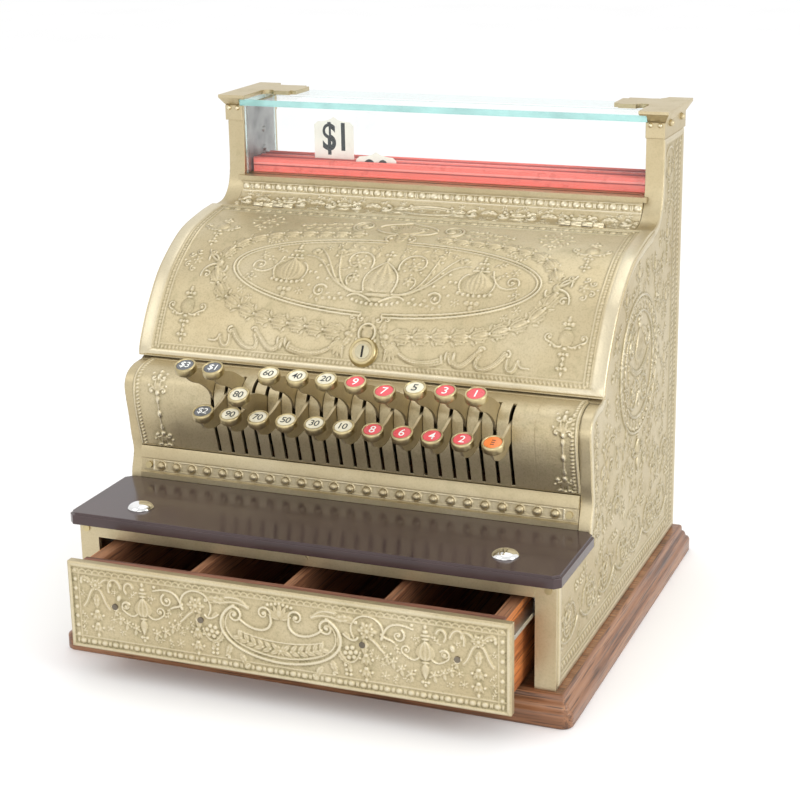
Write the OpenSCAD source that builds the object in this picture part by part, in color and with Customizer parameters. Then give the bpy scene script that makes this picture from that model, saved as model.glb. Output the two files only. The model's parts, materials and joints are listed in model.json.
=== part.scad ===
// Countertop cash register with press-down keys, pop-up amount flags,
// a hinged curved lid and a wooden drawer.
// Millimetres, +Z up, X to the right, Y to the back.
// The origin is the centre of the base's underside.

/* [Case] */
// Width across the two side frames
case_width = 419; // [415:1:423]
// How far the drawer section's front lies ahead of the origin
case_front = 190; // [188:1:192]
// How far the case's back lies behind the origin
case_back = 188.7; // [187:0.1:190]
// Height of the glass window's top edge
window_top = 422.4; // [421:0.1:424]

/* [Base] */
// Width of the wooden base
base_width = 450.6; // [446:0.2:454]
// Depth of the wooden base
base_depth = 404.4; // [400:0.2:408]
// Thickness of the wooden base
base_height = 25.7; // [25:0.1:26]

/* [Keys] */
// Distance between neighbouring key slots
key_pitch = 12.7; // [12.5:0.1:12.9]
// Diameter of a key top
key_top_diameter = 18.4; // [17:0.2:20]
// Thickness of a key's lever
lever_thickness = 2.4; // [2:0.1:2.6]
// Angle that the half-pressed 80 key has turned through
pressed_80_angle = 5.6; // [0:0.1:7]
// Angle that the slightly pressed 7 key has turned through
pressed_7_angle = 1.4; // [0:0.1:7]

/* [Flags] */
// Width of an amount flag
flag_width = 40; // [36:1:44]
// How far a flag rises from hidden to fully shown
flag_travel = 42; // [38:1:46]
// How far the 80 flag has risen
raised_80_flag = 12.5; // [0:0.5:20]

/* [Drawer] */
// How far the drawer stands open
drawer_open = 53; // [0:1:60]
// Length of the drawer's wooden box
drawer_length = 330; // [300:5:335]
// Thickness of the drawer's walls
drawer_wall = 12; // [9:1:14]

/* [Hidden] */
KEY_NAMES = ["dollar_3", "dollar_2", "dollar_1",
             "90", "80", "70", "60", "50", "40", "30", "20", "10",
             "9", "8", "7", "6", "5", "4", "3", "2", "1", "no_sale"];
FLAG_COUNT = 12;              // the flags that move: dollars and tens
$fn = 48;

half = case_width / 2;        // outer face of a side frame
front = -case_front;
back = case_back;
skin = 4;                     // thickness of a side frame's plate
post = 15.6;                  // width of a side frame's rim beside the window
lip = 9.5;                    // width of a side frame's rim beside the keys
pillar = 17.4;                // width of the drawer section's front pillars
inner = half - post - 0.3;    // half width between the rims
gap = 0.3;                    // clearance between neighbouring pieces
brass = "#b7a67c";

header_z = 102.3;             // underside of the rail above the drawer
shelf_z = 115.3;              // underside of the shelf
shelf_top = 125.5;
shelf_half = 215;
ledge_z = 357.6;              // top of the ledge under the window
cap_z = 408.5;                // underside of the corner caps
cap_top = 432.6;

lid_half = 212.5;
lid_thickness = 3;
hinge_y = 81;
hinge_z = 335.5;
hinge_radius = 3.4;
pin_radius = 1.5;
hinge_centre_x = 148;
knuckle = 10;                 // length of one of the four knuckles in a group
lock_centre = [0, -63.7, 247];
lock_tilt = 61;

shaft_y = 39;
shaft_z = 184;
shaft_radius = 4;
running_fit = 0.05;
first_key_x = -122.9;
slot_width = 3;

flag_front_y = 134.5;         // centre of the first flag slot
flag_plane_pitch = 9.5;
flag_up_z = 405.8;            // height of a raised flag's shoulders
housing_top = 370.5;

runner_z = 86;
runner_height = 4;

// --- Curves -------------------------------------------------------------

// One point on the smooth curve through p1 and p2
function spline_point(p0, p1, p2, p3, t) =
    0.5 * (2 * p1 + (p2 - p0) * t + (2 * p0 - 5 * p1 + 4 * p2 - p3) * t * t
           + (3 * p1 - p0 - 3 * p2 + p3) * t * t * t);

// A smooth curve through all the points, with a number of steps per span
function smooth(points, steps = 5) =
    let (last = len(points) - 1)
    concat([for (i = [0 : last - 1], s = [0 : steps - 1])
                spline_point(points[max(i - 1, 0)], points[i], points[i + 1],
                             points[min(i + 2, last)], s / steps)],
           [points[last]]);

// A path moved sideways, to its right, by a distance
function beside(path, distance) =
    [for (i = [0 : len(path) - 1])
        let (along = path[min(i + 1, len(path) - 1)] - path[max(i - 1, 0)])
        path[i] + distance * [along[1], -along[0]] / norm(along)];

function reversed(path) = [for (i = [len(path) - 1 : -1 : 0]) path[i]];

// The outline of a strip of constant thickness that follows a path
function strip(path, thickness) =
    concat(path, reversed(beside(path, thickness)));

// The side frame's front edge beside the keys, from the shelf upwards
shoulder_path = smooth([[-101, 115.3], [-99.5, 130], [-94.5, 147], [-97.2, 164],
                        [-99.5, 181], [-102.6, 198], [-103.4, 210],
                        [-97.5, 219.5], [-85, 224.2], [-72, 225]]);

// The lid's outer curve, from its lower edge up to the hinge
lid_path = smooth([[-70, 228], [-68.3, 237], [-60, 253], [-47, 272.5],
                   [-24, 298], [14, 321.5], [52, 331], [80.3, 334.6]], 6);

// The side frame's edge that carries the lid
seat_path = beside(lid_path, lid_thickness + 0.6);

// The side frame's edge from the hinge to the window post
neck_path = smooth([[81, 334.3], [92, 334.8], [100, 337.3], [107, 342.8],
                    [112.3, 351], [115.2, 364], [116, 380]]);

// The face of the slotted panel that the keys come through
panel_path = smooth([[-95.4, 154], [-98.2, 165], [-103, 182], [-106, 200],
                     [-104.8, 213], [-99, 220.6], [-88, 225], [-73, 226.2]]);

// An outline in the YZ plane, extruded from one X to another
module across(x0, x1, outline) {
    translate([x0, 0, 0])
        rotate([90, 0, 90])
            linear_extrude(x1 - x0)
                polygon(outline);
}

// A box from its lowest corner to its highest
module span(low, high) {
    translate(low) cube(high - low);
}

// The same on both sides of the machine
module both_sides() {
    children();
    mirror([1, 0, 0]) children();
}

// A rectangle with its corners cut off
function clipped(w, d, cut) =
    [[-w, -d + cut], [-w + cut, -d], [w - cut, -d], [w, -d + cut],
     [w, d - cut], [w - cut, d], [-w + cut, d], [-w, d - cut]];

module rounded_slab(width, depth, radius, height) {
    linear_extrude(height) {
        square([width - 2 * radius, depth], center = true);
        square([width, depth - 2 * radius], center = true);
        for (x = [-1, 1], y = [-1, 1])
            translate([x * (width / 2 - radius), y * (depth / 2 - radius)])
                circle(radius);
    }
}

// --- Case ---------------------------------------------------------------

// Moulded oak board: a thick edge, a cove and a top fillet
module wooden_base() {
    edge = 14;
    cove = 19.5;
    color("#7a4a2a") {
        rounded_slab(base_width, base_depth, 9, edge);
        translate([0, 0, edge])
            rounded_slab(base_width - 8, base_depth - 8, 7, cove - edge);
        translate([0, 0, cove])
            rounded_slab(base_width - 17, base_depth - 14.5, 4, base_height - cove);
    }
}

// One side: a cast plate with rims that turn inwards along its edges
module side_frame() {
    rim_front = front + gap + 4;
    floor_z = ledge_z - 5;
    outline = concat([[back, base_height], [rim_front, base_height], [rim_front, shelf_z]],
                     shoulder_path, seat_path, neck_path, [[116, cap_z], [back, cap_z]]);
    pocket = concat([[back - skin, base_height + skin], [rim_front + 3, base_height + skin],
                     [rim_front + 3, shelf_z - skin], [-97, shelf_z - skin]],
                    beside(shoulder_path, skin), beside(seat_path, skin),
                    [for (p = beside(neck_path, skin)) if (p[1] < floor_z - 1) p],
                    [[117, floor_z], [back - skin, floor_z]]);
    difference() {
        across(half - post, half, outline);
        across(half - post - 1, half - skin, pocket);
        // the rim is narrower beside the keys
        span([half - post - 1, -120, shelf_z], [half - lip, -71, 240]);
        // the window post is hollow, and open at the top
        span([half - post + 1.5, 119, floor_z + 2], [half - skin, back - 1.5, cap_z + 1]);
    }
    // two rivets on the post's inner face
    for (z = [376, 394])
        translate([half - post + 0.2, 158, z])
            rotate([0, -90, 0]) cylinder(r = 2.6, h = 1.1);
    // boss that holds the end of the key shaft
    translate([half - skin - 5, shaft_y, shaft_z])
        rotate([0, 90, 0])
            difference() {
                cylinder(r = 9, h = 6);
                translate([0, 0, -1]) cylinder(r = shaft_radius, h = 5.5);
            }
}

module side_frame_right() {
    color(brass) side_frame();
}

module side_frame_left() {
    color(brass) mirror([1, 0, 0]) side_frame();
}

// Rear wall with a raised border and a ledge for the rear pane
module back_cover() {
    w = inner;
    color(brass) {
        difference() {
            span([-w, back - 4, base_height], [w, back, ledge_z]);
            span([-w + 18, back - 1.5, base_height + 18], [w - 18, back + 1, ledge_z - 18]);
        }
        span([-w, 168, ledge_z - 3], [w, back - 4, ledge_z]);
    }
}

// Pillars and the rail above the drawer, in one casting
module front_frame() {
    color(brass) {
        difference() {
            span([-half, front, base_height], [half, front + 4, shelf_z]);
            span([-half + pillar, front - 1, base_height - 1],
                 [half - pillar, front + 5, header_z]);
        }
        // the rail stands a little proud, and turns back under the shelf
        span([-half + pillar, front - 1, header_z + 2], [half - pillar, front, shelf_z - 2]);
        span([-inner, front + 4, shelf_z - 3], [inner, front + 30, shelf_z]);
        translate([0, front - 1, 109.5]) rotate([90, 0, 0]) cylinder(r = 1.6, h = 1.5);
    }
}

// Smooth dark slab that the coins are laid on
module shelf() {
    depth = 99;
    y = -200 + depth / 2;
    bevel_z = 8.2;
    color("#3a2a26")
        translate([0, y, shelf_z]) {
            linear_extrude(bevel_z)
                polygon(clipped(shelf_half, depth / 2, 5));
            translate([0, 0.75, bevel_z]) linear_extrude(shelf_top - shelf_z - bevel_z)
                polygon(clipped(shelf_half - 1.6, depth / 2 - 0.75, 5));
        }
}

module shelf_studs() {
    color("#d8d8d6")
        for (x = [-161.5, 161.5])
            translate([x, -170, shelf_top])
                rotate_extrude()
                    polygon(concat([[0, 0], [11, 0], [11, 0.8]],
                                   [for (a = [20 : 10 : 90]) [10.6 * cos(a), 0.6 + 4.4 * sin(a)]]));
}

// Slotted front that the key levers come through
module key_panel() {
    w = half - lip - gap;
    color(brass)
        difference() {
            across(-w, w, strip(panel_path, 2.6));
            for (i = [0 : len(KEY_NAMES) - 1])
                span([key_x(i) - slot_width / 2, -110, 156],
                     [key_x(i) + slot_width / 2, -90, 224.2]);
        }
}

// Plate below the keys, with a row of beads in a sunk channel
module bead_plate() {
    w = half - lip - gap;
    beads = 25;
    pitch = 15;
    color(brass) {
        across(-w, w, [[-93, 153.6], [-96.4, 153.6], [-98.6, 149.5], [-99.4, 143.6],
                       [-97.9, 142.6], [-99.2, 131.4], [-101, 130.4], [-101, 125.7],
                       [-96.5, 125.7], [-94.5, 145]]);
        for (i = [0 : beads - 1])
            translate([(i - (beads - 1) / 2) * pitch, -98.1, 137])
                sphere(r = 4);
    }
}

// Curved band between the lid and the window, with the window ledge
module neck_plate() {
    ledge_half = half - 12;
    path = smooth([[hinge_y + 0.3, 334.4], [92, 335], [100, 337.6], [106, 342], [109, 347]]);
    face = strip(path, 3);
    color(brass) {
        difference() {
            union() {
                across(-inner, inner, face);
                across(-inner, inner, [[109, 345.5], [109.6, 352.6], [107.5, 353.2],
                                       [107.5, ledge_z], [130, ledge_z], [130, 354.8],
                                       [112.6, 354.8], [112.6, 346]]);
                across(-ledge_half, ledge_half, [[107.5, 353.2], [107.5, ledge_z],
                                                 [111.5, ledge_z], [111.5, 353.2]]);
            }
            at_knuckles([0, 2]) knuckle_room();
            hinge_bores();
        }
        difference() {
            union() {
                at_knuckles([1, 3]) cylinder(r = hinge_radius, h = knuckle - 0.4);
                at_knuckle_webs([1, 3]) span([0, 0, 331.9], [knuckle - 0.4, 5, hinge_z]);
            }
            hinge_bores();
        }
    }
}

// Places its child at each of the named knuckles, with +Z along the hinge
module at_knuckles(which) {
    for (side = [-1, 1], k = which)
        translate([side * hinge_centre_x + (k - 2) * knuckle, hinge_y, hinge_z])
            rotate([0, 90, 0])
                translate([0, 0, 0.2]) children();
}

// Places its child at each named knuckle's left end, in the machine's axes
module at_knuckle_webs(which) {
    for (side = [-1, 1], k = which)
        translate([side * hinge_centre_x + (k - 2) * knuckle + 0.2, hinge_y, 0])
            children();
}

// The space that the other leaf's knuckle turns in
module knuckle_room() {
    translate([0, 0, -0.4]) cylinder(r = hinge_radius + 0.5, h = knuckle + 0.4);
}

module hinge_bores() {
    for (side = [-1, 1])
        translate([side * hinge_centre_x - 2 * knuckle - 1, hinge_y, hinge_z])
            rotate([0, 90, 0]) cylinder(r = pin_radius + running_fit, h = 4 * knuckle + 2);
}

module hinge_pins() {
    color("#b9b3a2")
        for (side = [-1, 1])
            translate([side * hinge_centre_x - 2 * knuckle, hinge_y, hinge_z])
                rotate([0, 90, 0]) cylinder(r = pin_radius, h = 4 * knuckle);
}

// Flared capitals on the window posts, with a tab over the glass
module corner_caps() {
    color(brass) both_sides() corner_cap();
}

module corner_cap() {
    lower = [half - post - 0.2, 114.8, half + 1.4, back + 1.2];
    upper = [half - 21, 108, half + 5.6, 199];
    glass_edge = 195.3;
    difference() {
        union() {
            cap_layer(lower, cap_z, window_top + 0.1);
            hull() {
                cap_layer(lower, window_top, window_top + 0.1);
                cap_layer(upper, 430, 430.1);
            }
            cap_layer(upper, 430, cap_top);
            // tab that holds the top glass down
            translate([0, 0, 428.7]) linear_extrude(cap_top - 428.7)
                difference() {
                    union() {
                        translate([155, 152]) square([40, 30]);
                        translate([160, 147]) square([35, 40]);
                    }
                    translate([182, 146]) circle(6);
                    translate([156, 192]) circle(6);
                }
        }
        span([150, 105, window_top - 0.1], [glass_edge, 192, 428.6]);
        // curved hollow on the inner edge, towards the back
        translate([180, 199, 420]) cylinder(r = 13, h = 20);
    }
    // bosses on the front and the outer side
    for (x = [198.5, 207])
        translate([x, 114.8, 425.2]) sphere(r = 2.2);
    for (y = [132, 172])
        translate([half + 2.4, y, 420]) sphere(r = 3);
}

module cap_layer(box, z0, z1) {
    span([box[0], box[1], z0], [box[2], box[3], z1]);
}

// Plate glass laid over the window
module top_glass() {
    color([0.7, 0.9, 0.88, 0.4])
        span([-195, 112, window_top + 0.2], [195, 190.5, 428.4]);
}

// Front and rear panes, between the posts
module window_panes() {
    color([0.85, 0.9, 0.9, 0.25])
        for (y = [119, 182])
            span([-inner, y, ledge_z], [inner, y + 3, window_top]);
}

// --- Inside -------------------------------------------------------------

// Red guide that the flags rise through, with a lengthwise slot for each row
module flag_housing() {
    color("#c8362c")
        difference() {
            span([-192, 130, 330], [192, 168, housing_top]);
            for (row = [0 : 3])
                span([-189, flag_front_y + row * flag_plane_pitch - 1.4, 329],
                     [189, flag_front_y + row * flag_plane_pitch + 1.4, housing_top + 1]);
        }
}

function key_x(i) = first_key_x + key_pitch * i;

// Dollar flags stand further left, so that they don't hide the tens
function flag_x(i) = key_x(i) + (i < 3 ? -16 : i < FLAG_COUNT ? 5 : 12);

// Neighbouring flags run in different rows: even keys in front rows
function flag_y(i) = flag_front_y + flag_plane_pitch * [0, 2, 1, 3][i % 4];

// How far each flag is raised
function flag_rise(i) = i == 2 ? flag_travel : i == 4 ? raised_80_flag : 0;

// A pointed plate on a thin stem
module flag(i) {
    s = flag_width / 2;
    shoulder = flag_up_z - flag_travel + flag_rise(i);
    stem_bottom = shoulder - 132;
    side = smooth([[s - 3.5, 0], [10, 0.7], [4, 2.2], [0, 4.8]], 4);
    translate([flag_x(i), flag_y(i) + 0.4, shoulder])
        rotate([90, 0, 0])
            linear_extrude(0.8)
                polygon(concat([[s, -40], [s, -3]], side,
                               reversed([for (p = side) [-p[0], p[1]]]),
                               [[-s, -3], [-s, -40]]));
    span([flag_x(i) - 3, flag_y(i) - 0.4, stem_bottom],
         [flag_x(i) + 3, flag_y(i) + 0.4, shoulder - 39]);
}

// The cents and no-sale flags, all down inside the housing
module lowered_flags() {
    color("#e8e4d2")
        for (i = [FLAG_COUNT : len(KEY_NAMES) - 1])
            flag(i);
}

module key_shaft() {
    color("#8c8c8c")
        translate([-half + skin + 1, shaft_y, shaft_z])
            rotate([0, 90, 0]) cylinder(r = shaft_radius, h = case_width - 2 * skin - 2);
}

// Channels on the side frames that the drawer's runners slide in
module drawer_slides() {
    low = runner_z - 0.4;
    high = runner_z + runner_height + 0.4;
    color("#8f8a7a")
        both_sides() {
            span([192.5, -170, low - 3], [half - skin, 170, high + 3]);
            span([185, -170, low - 3], [193, 170, low]);
            span([185, -170, high], [193, 170, high + 3]);
        }
}

module cabinet_screws() {
    bead_face_tilt = 83.4;    // square to the bead plate's sloping face
    color("#9a927e") {
        both_sides() {
            translate([203, front, 109.5]) rotate([90, 0, 0]) cylinder(r = 3, h = 1.2);
            translate([192, -98.6, 137]) rotate([bead_face_tilt, 0, 0]) cylinder(r = 3, h = 1.6);
        }
        for (x = [-186, 0, 186], z = [36, 346])
            translate([x, back + 1.2, z]) rotate([90, 0, 0]) cylinder(r = 3.2, h = 1.2);
    }
}

// Round gong that sounds when the drawer opens, on a post from the back
module bell() {
    color("#c2a14d")
        translate([-110, back - 4, 250])
            rotate([90, 0, 0]) {
                cylinder(r = 3, h = 22);
                translate([0, 0, 6])
                    rotate_extrude()
                        polygon(concat([[0, 16], [0, 14]],
                                       [for (a = [80 : -10 : 10]) [32 * cos(a), 14 * sin(a)]],
                                       [[33, 0], [35, 0]],
                                       [for (a = [10 : 10 : 80]) [34 * cos(a), 2 + 14 * sin(a)]]));
            }
}

// --- Lid ----------------------------------------------------------------

module lid() {
    color(brass) {
        difference() {
            union() {
                across(-lid_half, lid_half, strip(lid_path, lid_thickness));
                lock_place() cylinder(r = 11.5, h = 4.2);
            }
            at_knuckles([1, 3]) knuckle_room();
            hinge_bores();
            lock_place() translate([0, 0, -8])
                cylinder(r = 6.5 + running_fit, h = 20);
        }
        difference() {
            union() {
                at_knuckles([0, 2]) cylinder(r = hinge_radius, h = knuckle - 0.4);
                at_knuckle_webs([0, 2]) span([0, -5, 331.9], [knuckle - 0.4, 0, hinge_z]);
            }
            hinge_bores();
        }
    }
}

// Puts its child on the lid's face with +Z pointing outwards
module lock_place() {
    translate(lock_centre) rotate([lock_tilt, 0, 0]) translate([0, 0, -1]) children();
}

// Turning plug with a key slot, and the catch on its inner end
module lock_core() {
    color("#a89c7c")
        lock_place() {
            difference() {
                translate([0, 0, -9]) cylinder(r = 6.5, h = 13.4);
                translate([-0.9, -5, 3]) cube([1.8, 10, 3]);
            }
            translate([-4, -15, -11]) cube([8, 19, 2]);
        }
}

// --- Drawer -------------------------------------------------------------

drawer_y = front - drawer_open;       // outer face of the drawer's front
drawer_floor = 29;
drawer_top = 98;
drawer_half = 182;

// Cast front plate with a turned-back rim
module drawer_front() {
    w = half - pillar - 1.1;
    color(brass)
        difference() {
            span([-w, drawer_y, base_height + 0.4], [w, drawer_y + 7, header_z - 0.4]);
            span([-w + 3, drawer_y + 4, drawer_floor - 0.1], [w - 3, drawer_y + 8, header_z - 3.4]);
        }
}

// Open wooden box with three dividers
module drawer_box() {
    y0 = drawer_y + 4;
    y1 = y0 + drawer_length;
    color("#8a5630")
        difference() {
            span([-drawer_half, y0, drawer_floor], [drawer_half, y1, drawer_top]);
            for (c = compartments())
                span([c[0], y0 + drawer_wall, drawer_floor + 6],
                     [c[1], y1 - drawer_wall, drawer_top + 1]);
        }
}

// The left and right limit of each compartment
function compartments() =
    let (limit = drawer_half - drawer_wall, walls = [-85, -2, 84], t = 4)
    [for (k = [0 : 3])
        [k == 0 ? -limit : walls[k - 1] + t, k == 3 ? limit : walls[k] - t]];

module drawer_screws() {
    color("#57503f")
        for (x = [-148, -70, 70, 148])
            translate([x, drawer_y, 67]) rotate([90, 0, 0]) cylinder(r = 2.6, h = 1);
}

// Metal strips along the drawer's sides
module drawer_runners() {
    color("#9a978c")
        both_sides()
            span([drawer_half, drawer_y + 7.5, runner_z],
                 [191, drawer_y + drawer_length, runner_z + runner_height]);
}

// --- Keys and their flags -----------------------------------------------

function is_upper(i) = i % 2 == 0;
function press_angle(i) = i == 4 ? pressed_80_angle : i == 14 ? pressed_7_angle : 0;

// The lever's outline: straight inside the case, curved outside it
upper_lever = concat(
    smooth([[30, 191], [-20, 200], [-84, 216.5], [-98, 225.5], [-116, 235.5], [-130, 240.5],
            [-142, 242.5]]),
    smooth([[-150, 238], [-140, 231], [-124.5, 224.5], [-111, 215], [-102, 203],
            [-84, 198.5], [0, 182], [32, 177]]));
lower_lever = concat(
    smooth([[30, 191], [-20, 200], [-84, 211], [-103, 211.8], [-117, 207.5], [-131, 204.5],
            [-142, 204]]),
    smooth([[-151, 200], [-145, 193.5], [-131, 189.5], [-117, 190.5], [-104, 197],
            [-84, 198], [0, 182], [32, 177]]));

module key(i) {
    top_centre = is_upper(i) ? [-150.5, 248.3] : [-147.5, 208.8];
    tilt = 20;
    color(i < 3 ? "#4a4a4c" : i < 12 ? "#ece7d0" : i == 21 ? "#e0662a" : "#c8362c")
        translate([key_x(i), shaft_y, shaft_z])
            rotate([press_angle(i), 0, 0])
                translate([0, -shaft_y, -shaft_z]) {
                    across(-lever_thickness / 2, lever_thickness / 2,
                           is_upper(i) ? upper_lever : lower_lever);
                    key_hub();
                    translate([0, top_centre[0], top_centre[1]])
                        rotate([tilt, 0, 0]) key_top();
                }
}

// Round pad: a rimmed cup on a short cone
module key_top() {
    r = key_top_diameter / 2;
    rotate_extrude()
        polygon([[0, 0], [r - 1.3, 0], [r - 0.5, 0.2], [r, -0.4], [r, -5.2],
                 [r - 1.4, -6.4], [6.2, -6.8], [4.6, -9.5], [0, -9.5]]);
}

// Bearing on the key shaft, with a tail behind it
module key_hub() {
    width = key_pitch - 2.7;
    difference() {
        union() {
            translate([-width / 2, shaft_y, shaft_z])
                rotate([0, 90, 0]) cylinder(r = 8, h = width);
            across(-lever_thickness / 2, lever_thickness / 2,
                   [[30, 190.5], [96, 190], [98, 182], [32, 177.5]]);
        }
        translate([-width, shaft_y, shaft_z])
            rotate([0, 90, 0]) cylinder(r = shaft_radius + running_fit, h = 2 * width);
    }
}

module moving_flag(i) {
    color("#e8e4d2") flag(i);
}

// --- Nodes --------------------------------------------------------------

wooden_base();
side_frame_left();
side_frame_right();
back_cover();
front_frame();
shelf();
shelf_studs();
key_panel();
bead_plate();
neck_plate();
corner_caps();
top_glass();
window_panes();
flag_housing();
lowered_flags();
key_shaft();
hinge_pins();
drawer_slides();
cabinet_screws();
bell();
lid();
lock_core();
drawer_front();
drawer_box();
drawer_screws();
drawer_runners();
for (i = [0 : len(KEY_NAMES) - 1])
    key(i);
for (i = [0 : FLAG_COUNT - 1])
    moving_flag(i);
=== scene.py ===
"""Looks of an antique countertop cash register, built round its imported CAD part.

Sizes and places are in millimetres, unless their comment says metres.
"""

import bmesh
import bpy
import json
import math
import random

import numpy as np
from mathutils import Matrix, Vector

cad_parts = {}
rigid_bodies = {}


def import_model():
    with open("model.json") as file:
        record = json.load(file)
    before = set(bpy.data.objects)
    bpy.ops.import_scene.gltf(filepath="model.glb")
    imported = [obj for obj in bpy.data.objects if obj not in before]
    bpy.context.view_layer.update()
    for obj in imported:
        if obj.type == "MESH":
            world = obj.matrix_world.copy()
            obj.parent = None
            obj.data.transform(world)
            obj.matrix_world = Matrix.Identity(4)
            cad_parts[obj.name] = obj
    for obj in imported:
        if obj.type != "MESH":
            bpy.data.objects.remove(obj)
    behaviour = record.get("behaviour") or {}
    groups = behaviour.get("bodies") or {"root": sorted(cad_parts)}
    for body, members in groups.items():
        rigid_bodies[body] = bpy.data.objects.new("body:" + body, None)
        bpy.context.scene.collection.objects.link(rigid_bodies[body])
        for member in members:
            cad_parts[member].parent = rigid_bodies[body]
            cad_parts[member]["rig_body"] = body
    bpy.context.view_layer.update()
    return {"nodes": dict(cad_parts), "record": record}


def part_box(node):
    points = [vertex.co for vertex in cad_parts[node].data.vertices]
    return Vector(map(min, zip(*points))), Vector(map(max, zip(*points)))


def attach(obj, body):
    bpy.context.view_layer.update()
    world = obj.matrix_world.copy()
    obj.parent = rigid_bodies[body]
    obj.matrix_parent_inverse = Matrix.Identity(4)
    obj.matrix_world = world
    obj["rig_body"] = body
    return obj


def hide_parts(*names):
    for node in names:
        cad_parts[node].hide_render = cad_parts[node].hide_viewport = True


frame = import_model()

MM = 0.001
SIDE_X = 209.5          # outer face of a side frame
DRAWER_Y = -243.0       # outer face of the drawer's front
BACK_Y = 187.2          # outer face of the rear cover
BASE_Z = 25.7           # top of the wooden base
CAP_Z = 408.5           # underside of the corner caps
LID_HALF = 212.5        # half the width of the lid
KEY_X = -122.9          # middle of the leftmost key
KEY_PITCH = 12.7        # half an inch between neighbouring levers
KEYS = ["dollar_3", "dollar_2", "dollar_1", "90", "80", "70", "60", "50", "40", "30", "20", "10",
        "9", "8", "7", "6", "5", "4", "3", "2", "1", "no_sale"]
MOVING_FLAGS = 12       # the dollar and tens flags each have their own body
RELIEF_DEPTH = 0.95     # height of the ornament as cast, against the height it is drawn at
HIDDEN = -0.4           # heights below this mark the cells of a relief that aren't made
TONE_TOP = 1.6          # height above which ornament has no more effect on the tone
TONE_REACH = 1.2        # how far round a place the tone compares its height
TONE_GAIN = 0.62        # tone per millimetre above or below that
LINE = 0.8              # width of a motif's lines, against the width they are drawn at
POLISHED_HIGHLIGHT = 0.26         # painted highlight and polish on the rubbed borders, added to the tone
SIDES = ((-1, "left"), (1, "right"))


# --- Curves -------------------------------------------------------------


def smooth(points, steps=12):
    """A Catmull-Rom curve through all the points."""
    p = np.array(points, float)
    p = np.vstack([p[:1], p, p[-1:]])
    out = []
    for a, b, c, d in zip(p, p[1:], p[2:], p[3:]):
        for t in np.arange(steps) / steps:
            out.append(0.5 * (2 * b + (c - a) * t + (2 * a - 5 * b + 4 * c - d) * t * t
                              + (3 * b - a - 3 * c + d) * t ** 3))
    return np.array(out + [p[-1]])


def bezier(a, b, c, d, steps=14):
    """Points on a cubic curve from a to d."""
    t = np.linspace(0, 1, steps + 1)[:, None]
    a, b, c, d = (np.array(q, float) for q in (a, b, c, d))
    return (1 - t) ** 3 * a + 3 * t * (1 - t) ** 2 * b + 3 * t * t * (1 - t) * c + t ** 3 * d


def arc(x, y, rx, ry, start, stop, steps=24):
    """Points on an ellipse between two angles in degrees."""
    a = np.radians(np.linspace(start, stop, steps + 1))
    return np.column_stack([x + rx * np.cos(a), y + ry * np.sin(a)])


def around(x, y, rx, ry, angles):
    """Points on an ellipse at angles in degrees, each with its angle."""
    for a in angles:
        yield x + rx * math.cos(math.radians(a)), y + ry * math.sin(math.radians(a)), a


def spiral(x, y, radius, start, turns, inner=0.2):
    """Points that wind inwards about (x, y) from an angle in degrees."""
    t = np.linspace(0, 1, int(16 * abs(turns)) + 6)
    a = math.radians(start) + 2 * math.pi * turns * t
    r = radius * (1 - (1 - inner) * t ** 0.85)
    return np.column_stack([x + r * np.cos(a), y + r * np.sin(a)])


def beside(path, distance):
    """A path moved sideways, to its right."""
    along = np.gradient(path, axis=0)
    along /= np.linalg.norm(along, axis=1)[:, None]
    return path + distance * np.column_stack([along[:, 1], -along[:, 0]])


class Track:
    """A curve in the YZ plane, measured by its length."""

    def __init__(self, points):
        self.points = points
        step = np.linalg.norm(np.diff(points, axis=0), axis=1)
        self.at = np.concatenate([[0], np.cumsum(step)])
        self.length = self.at[-1]
        along = np.gradient(points, axis=0)
        along /= np.linalg.norm(along, axis=1)[:, None]
        self.normal = np.column_stack([-along[:, 1], along[:, 0]])

    def place(self, x, s, h):
        """Panel coordinates and height, as points in space."""
        y = np.interp(s, self.at, self.points[:, 0]) + h * np.interp(s, self.at, self.normal[:, 0])
        z = np.interp(s, self.at, self.points[:, 1]) + h * np.interp(s, self.at, self.normal[:, 1])
        return np.stack([x, y, z], axis=-1)


LID_PATH = smooth([(-70, 228), (-68.3, 237), (-60, 253), (-47, 272.5), (-24, 298), (14, 321.5),
                   (52, 331), (80.3, 334.6)])
SHOULDER_PATH = smooth([(-101, 115.3), (-99.5, 130), (-94.5, 147), (-97.2, 164), (-99.5, 181),
                        (-102.6, 198), (-103.4, 210), (-97.5, 219.5), (-85, 224.2), (-72, 225)])
NECK_EDGE = smooth([(81, 334.3), (92, 334.8), (100, 337.3), (107, 342.8), (112.3, 351),
                    (115.2, 364), (116, 380)])
NECK_FACE = smooth([(81.3, 334.4), (92, 335), (100, 337.6), (106, 342), (109, 347), (109.6, 352.4)])
PANEL_PATH = smooth([(-95.4, 154), (-98.2, 165), (-103, 182), (-106, 200), (-104.8, 213),
                     (-99, 220.6), (-88, 225), (-73, 226.2)])


# --- Relief -------------------------------------------------------------


def blurred(h, cells):
    """Heights averaged over a square of cells, three times over."""
    for _ in range(3):
        for axis in (0, 1):
            pad = [(0, 0), (0, 0)]
            pad[axis] = (cells + 1, cells)
            total = np.cumsum(np.pad(h, pad, mode="edge"), axis=axis)
            n = 2 * cells + 1
            hi = np.take(total, range(n, total.shape[axis]), axis)
            lo = np.take(total, range(0, total.shape[axis] - n), axis)
            h = (hi - lo) / n
    return h


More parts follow.
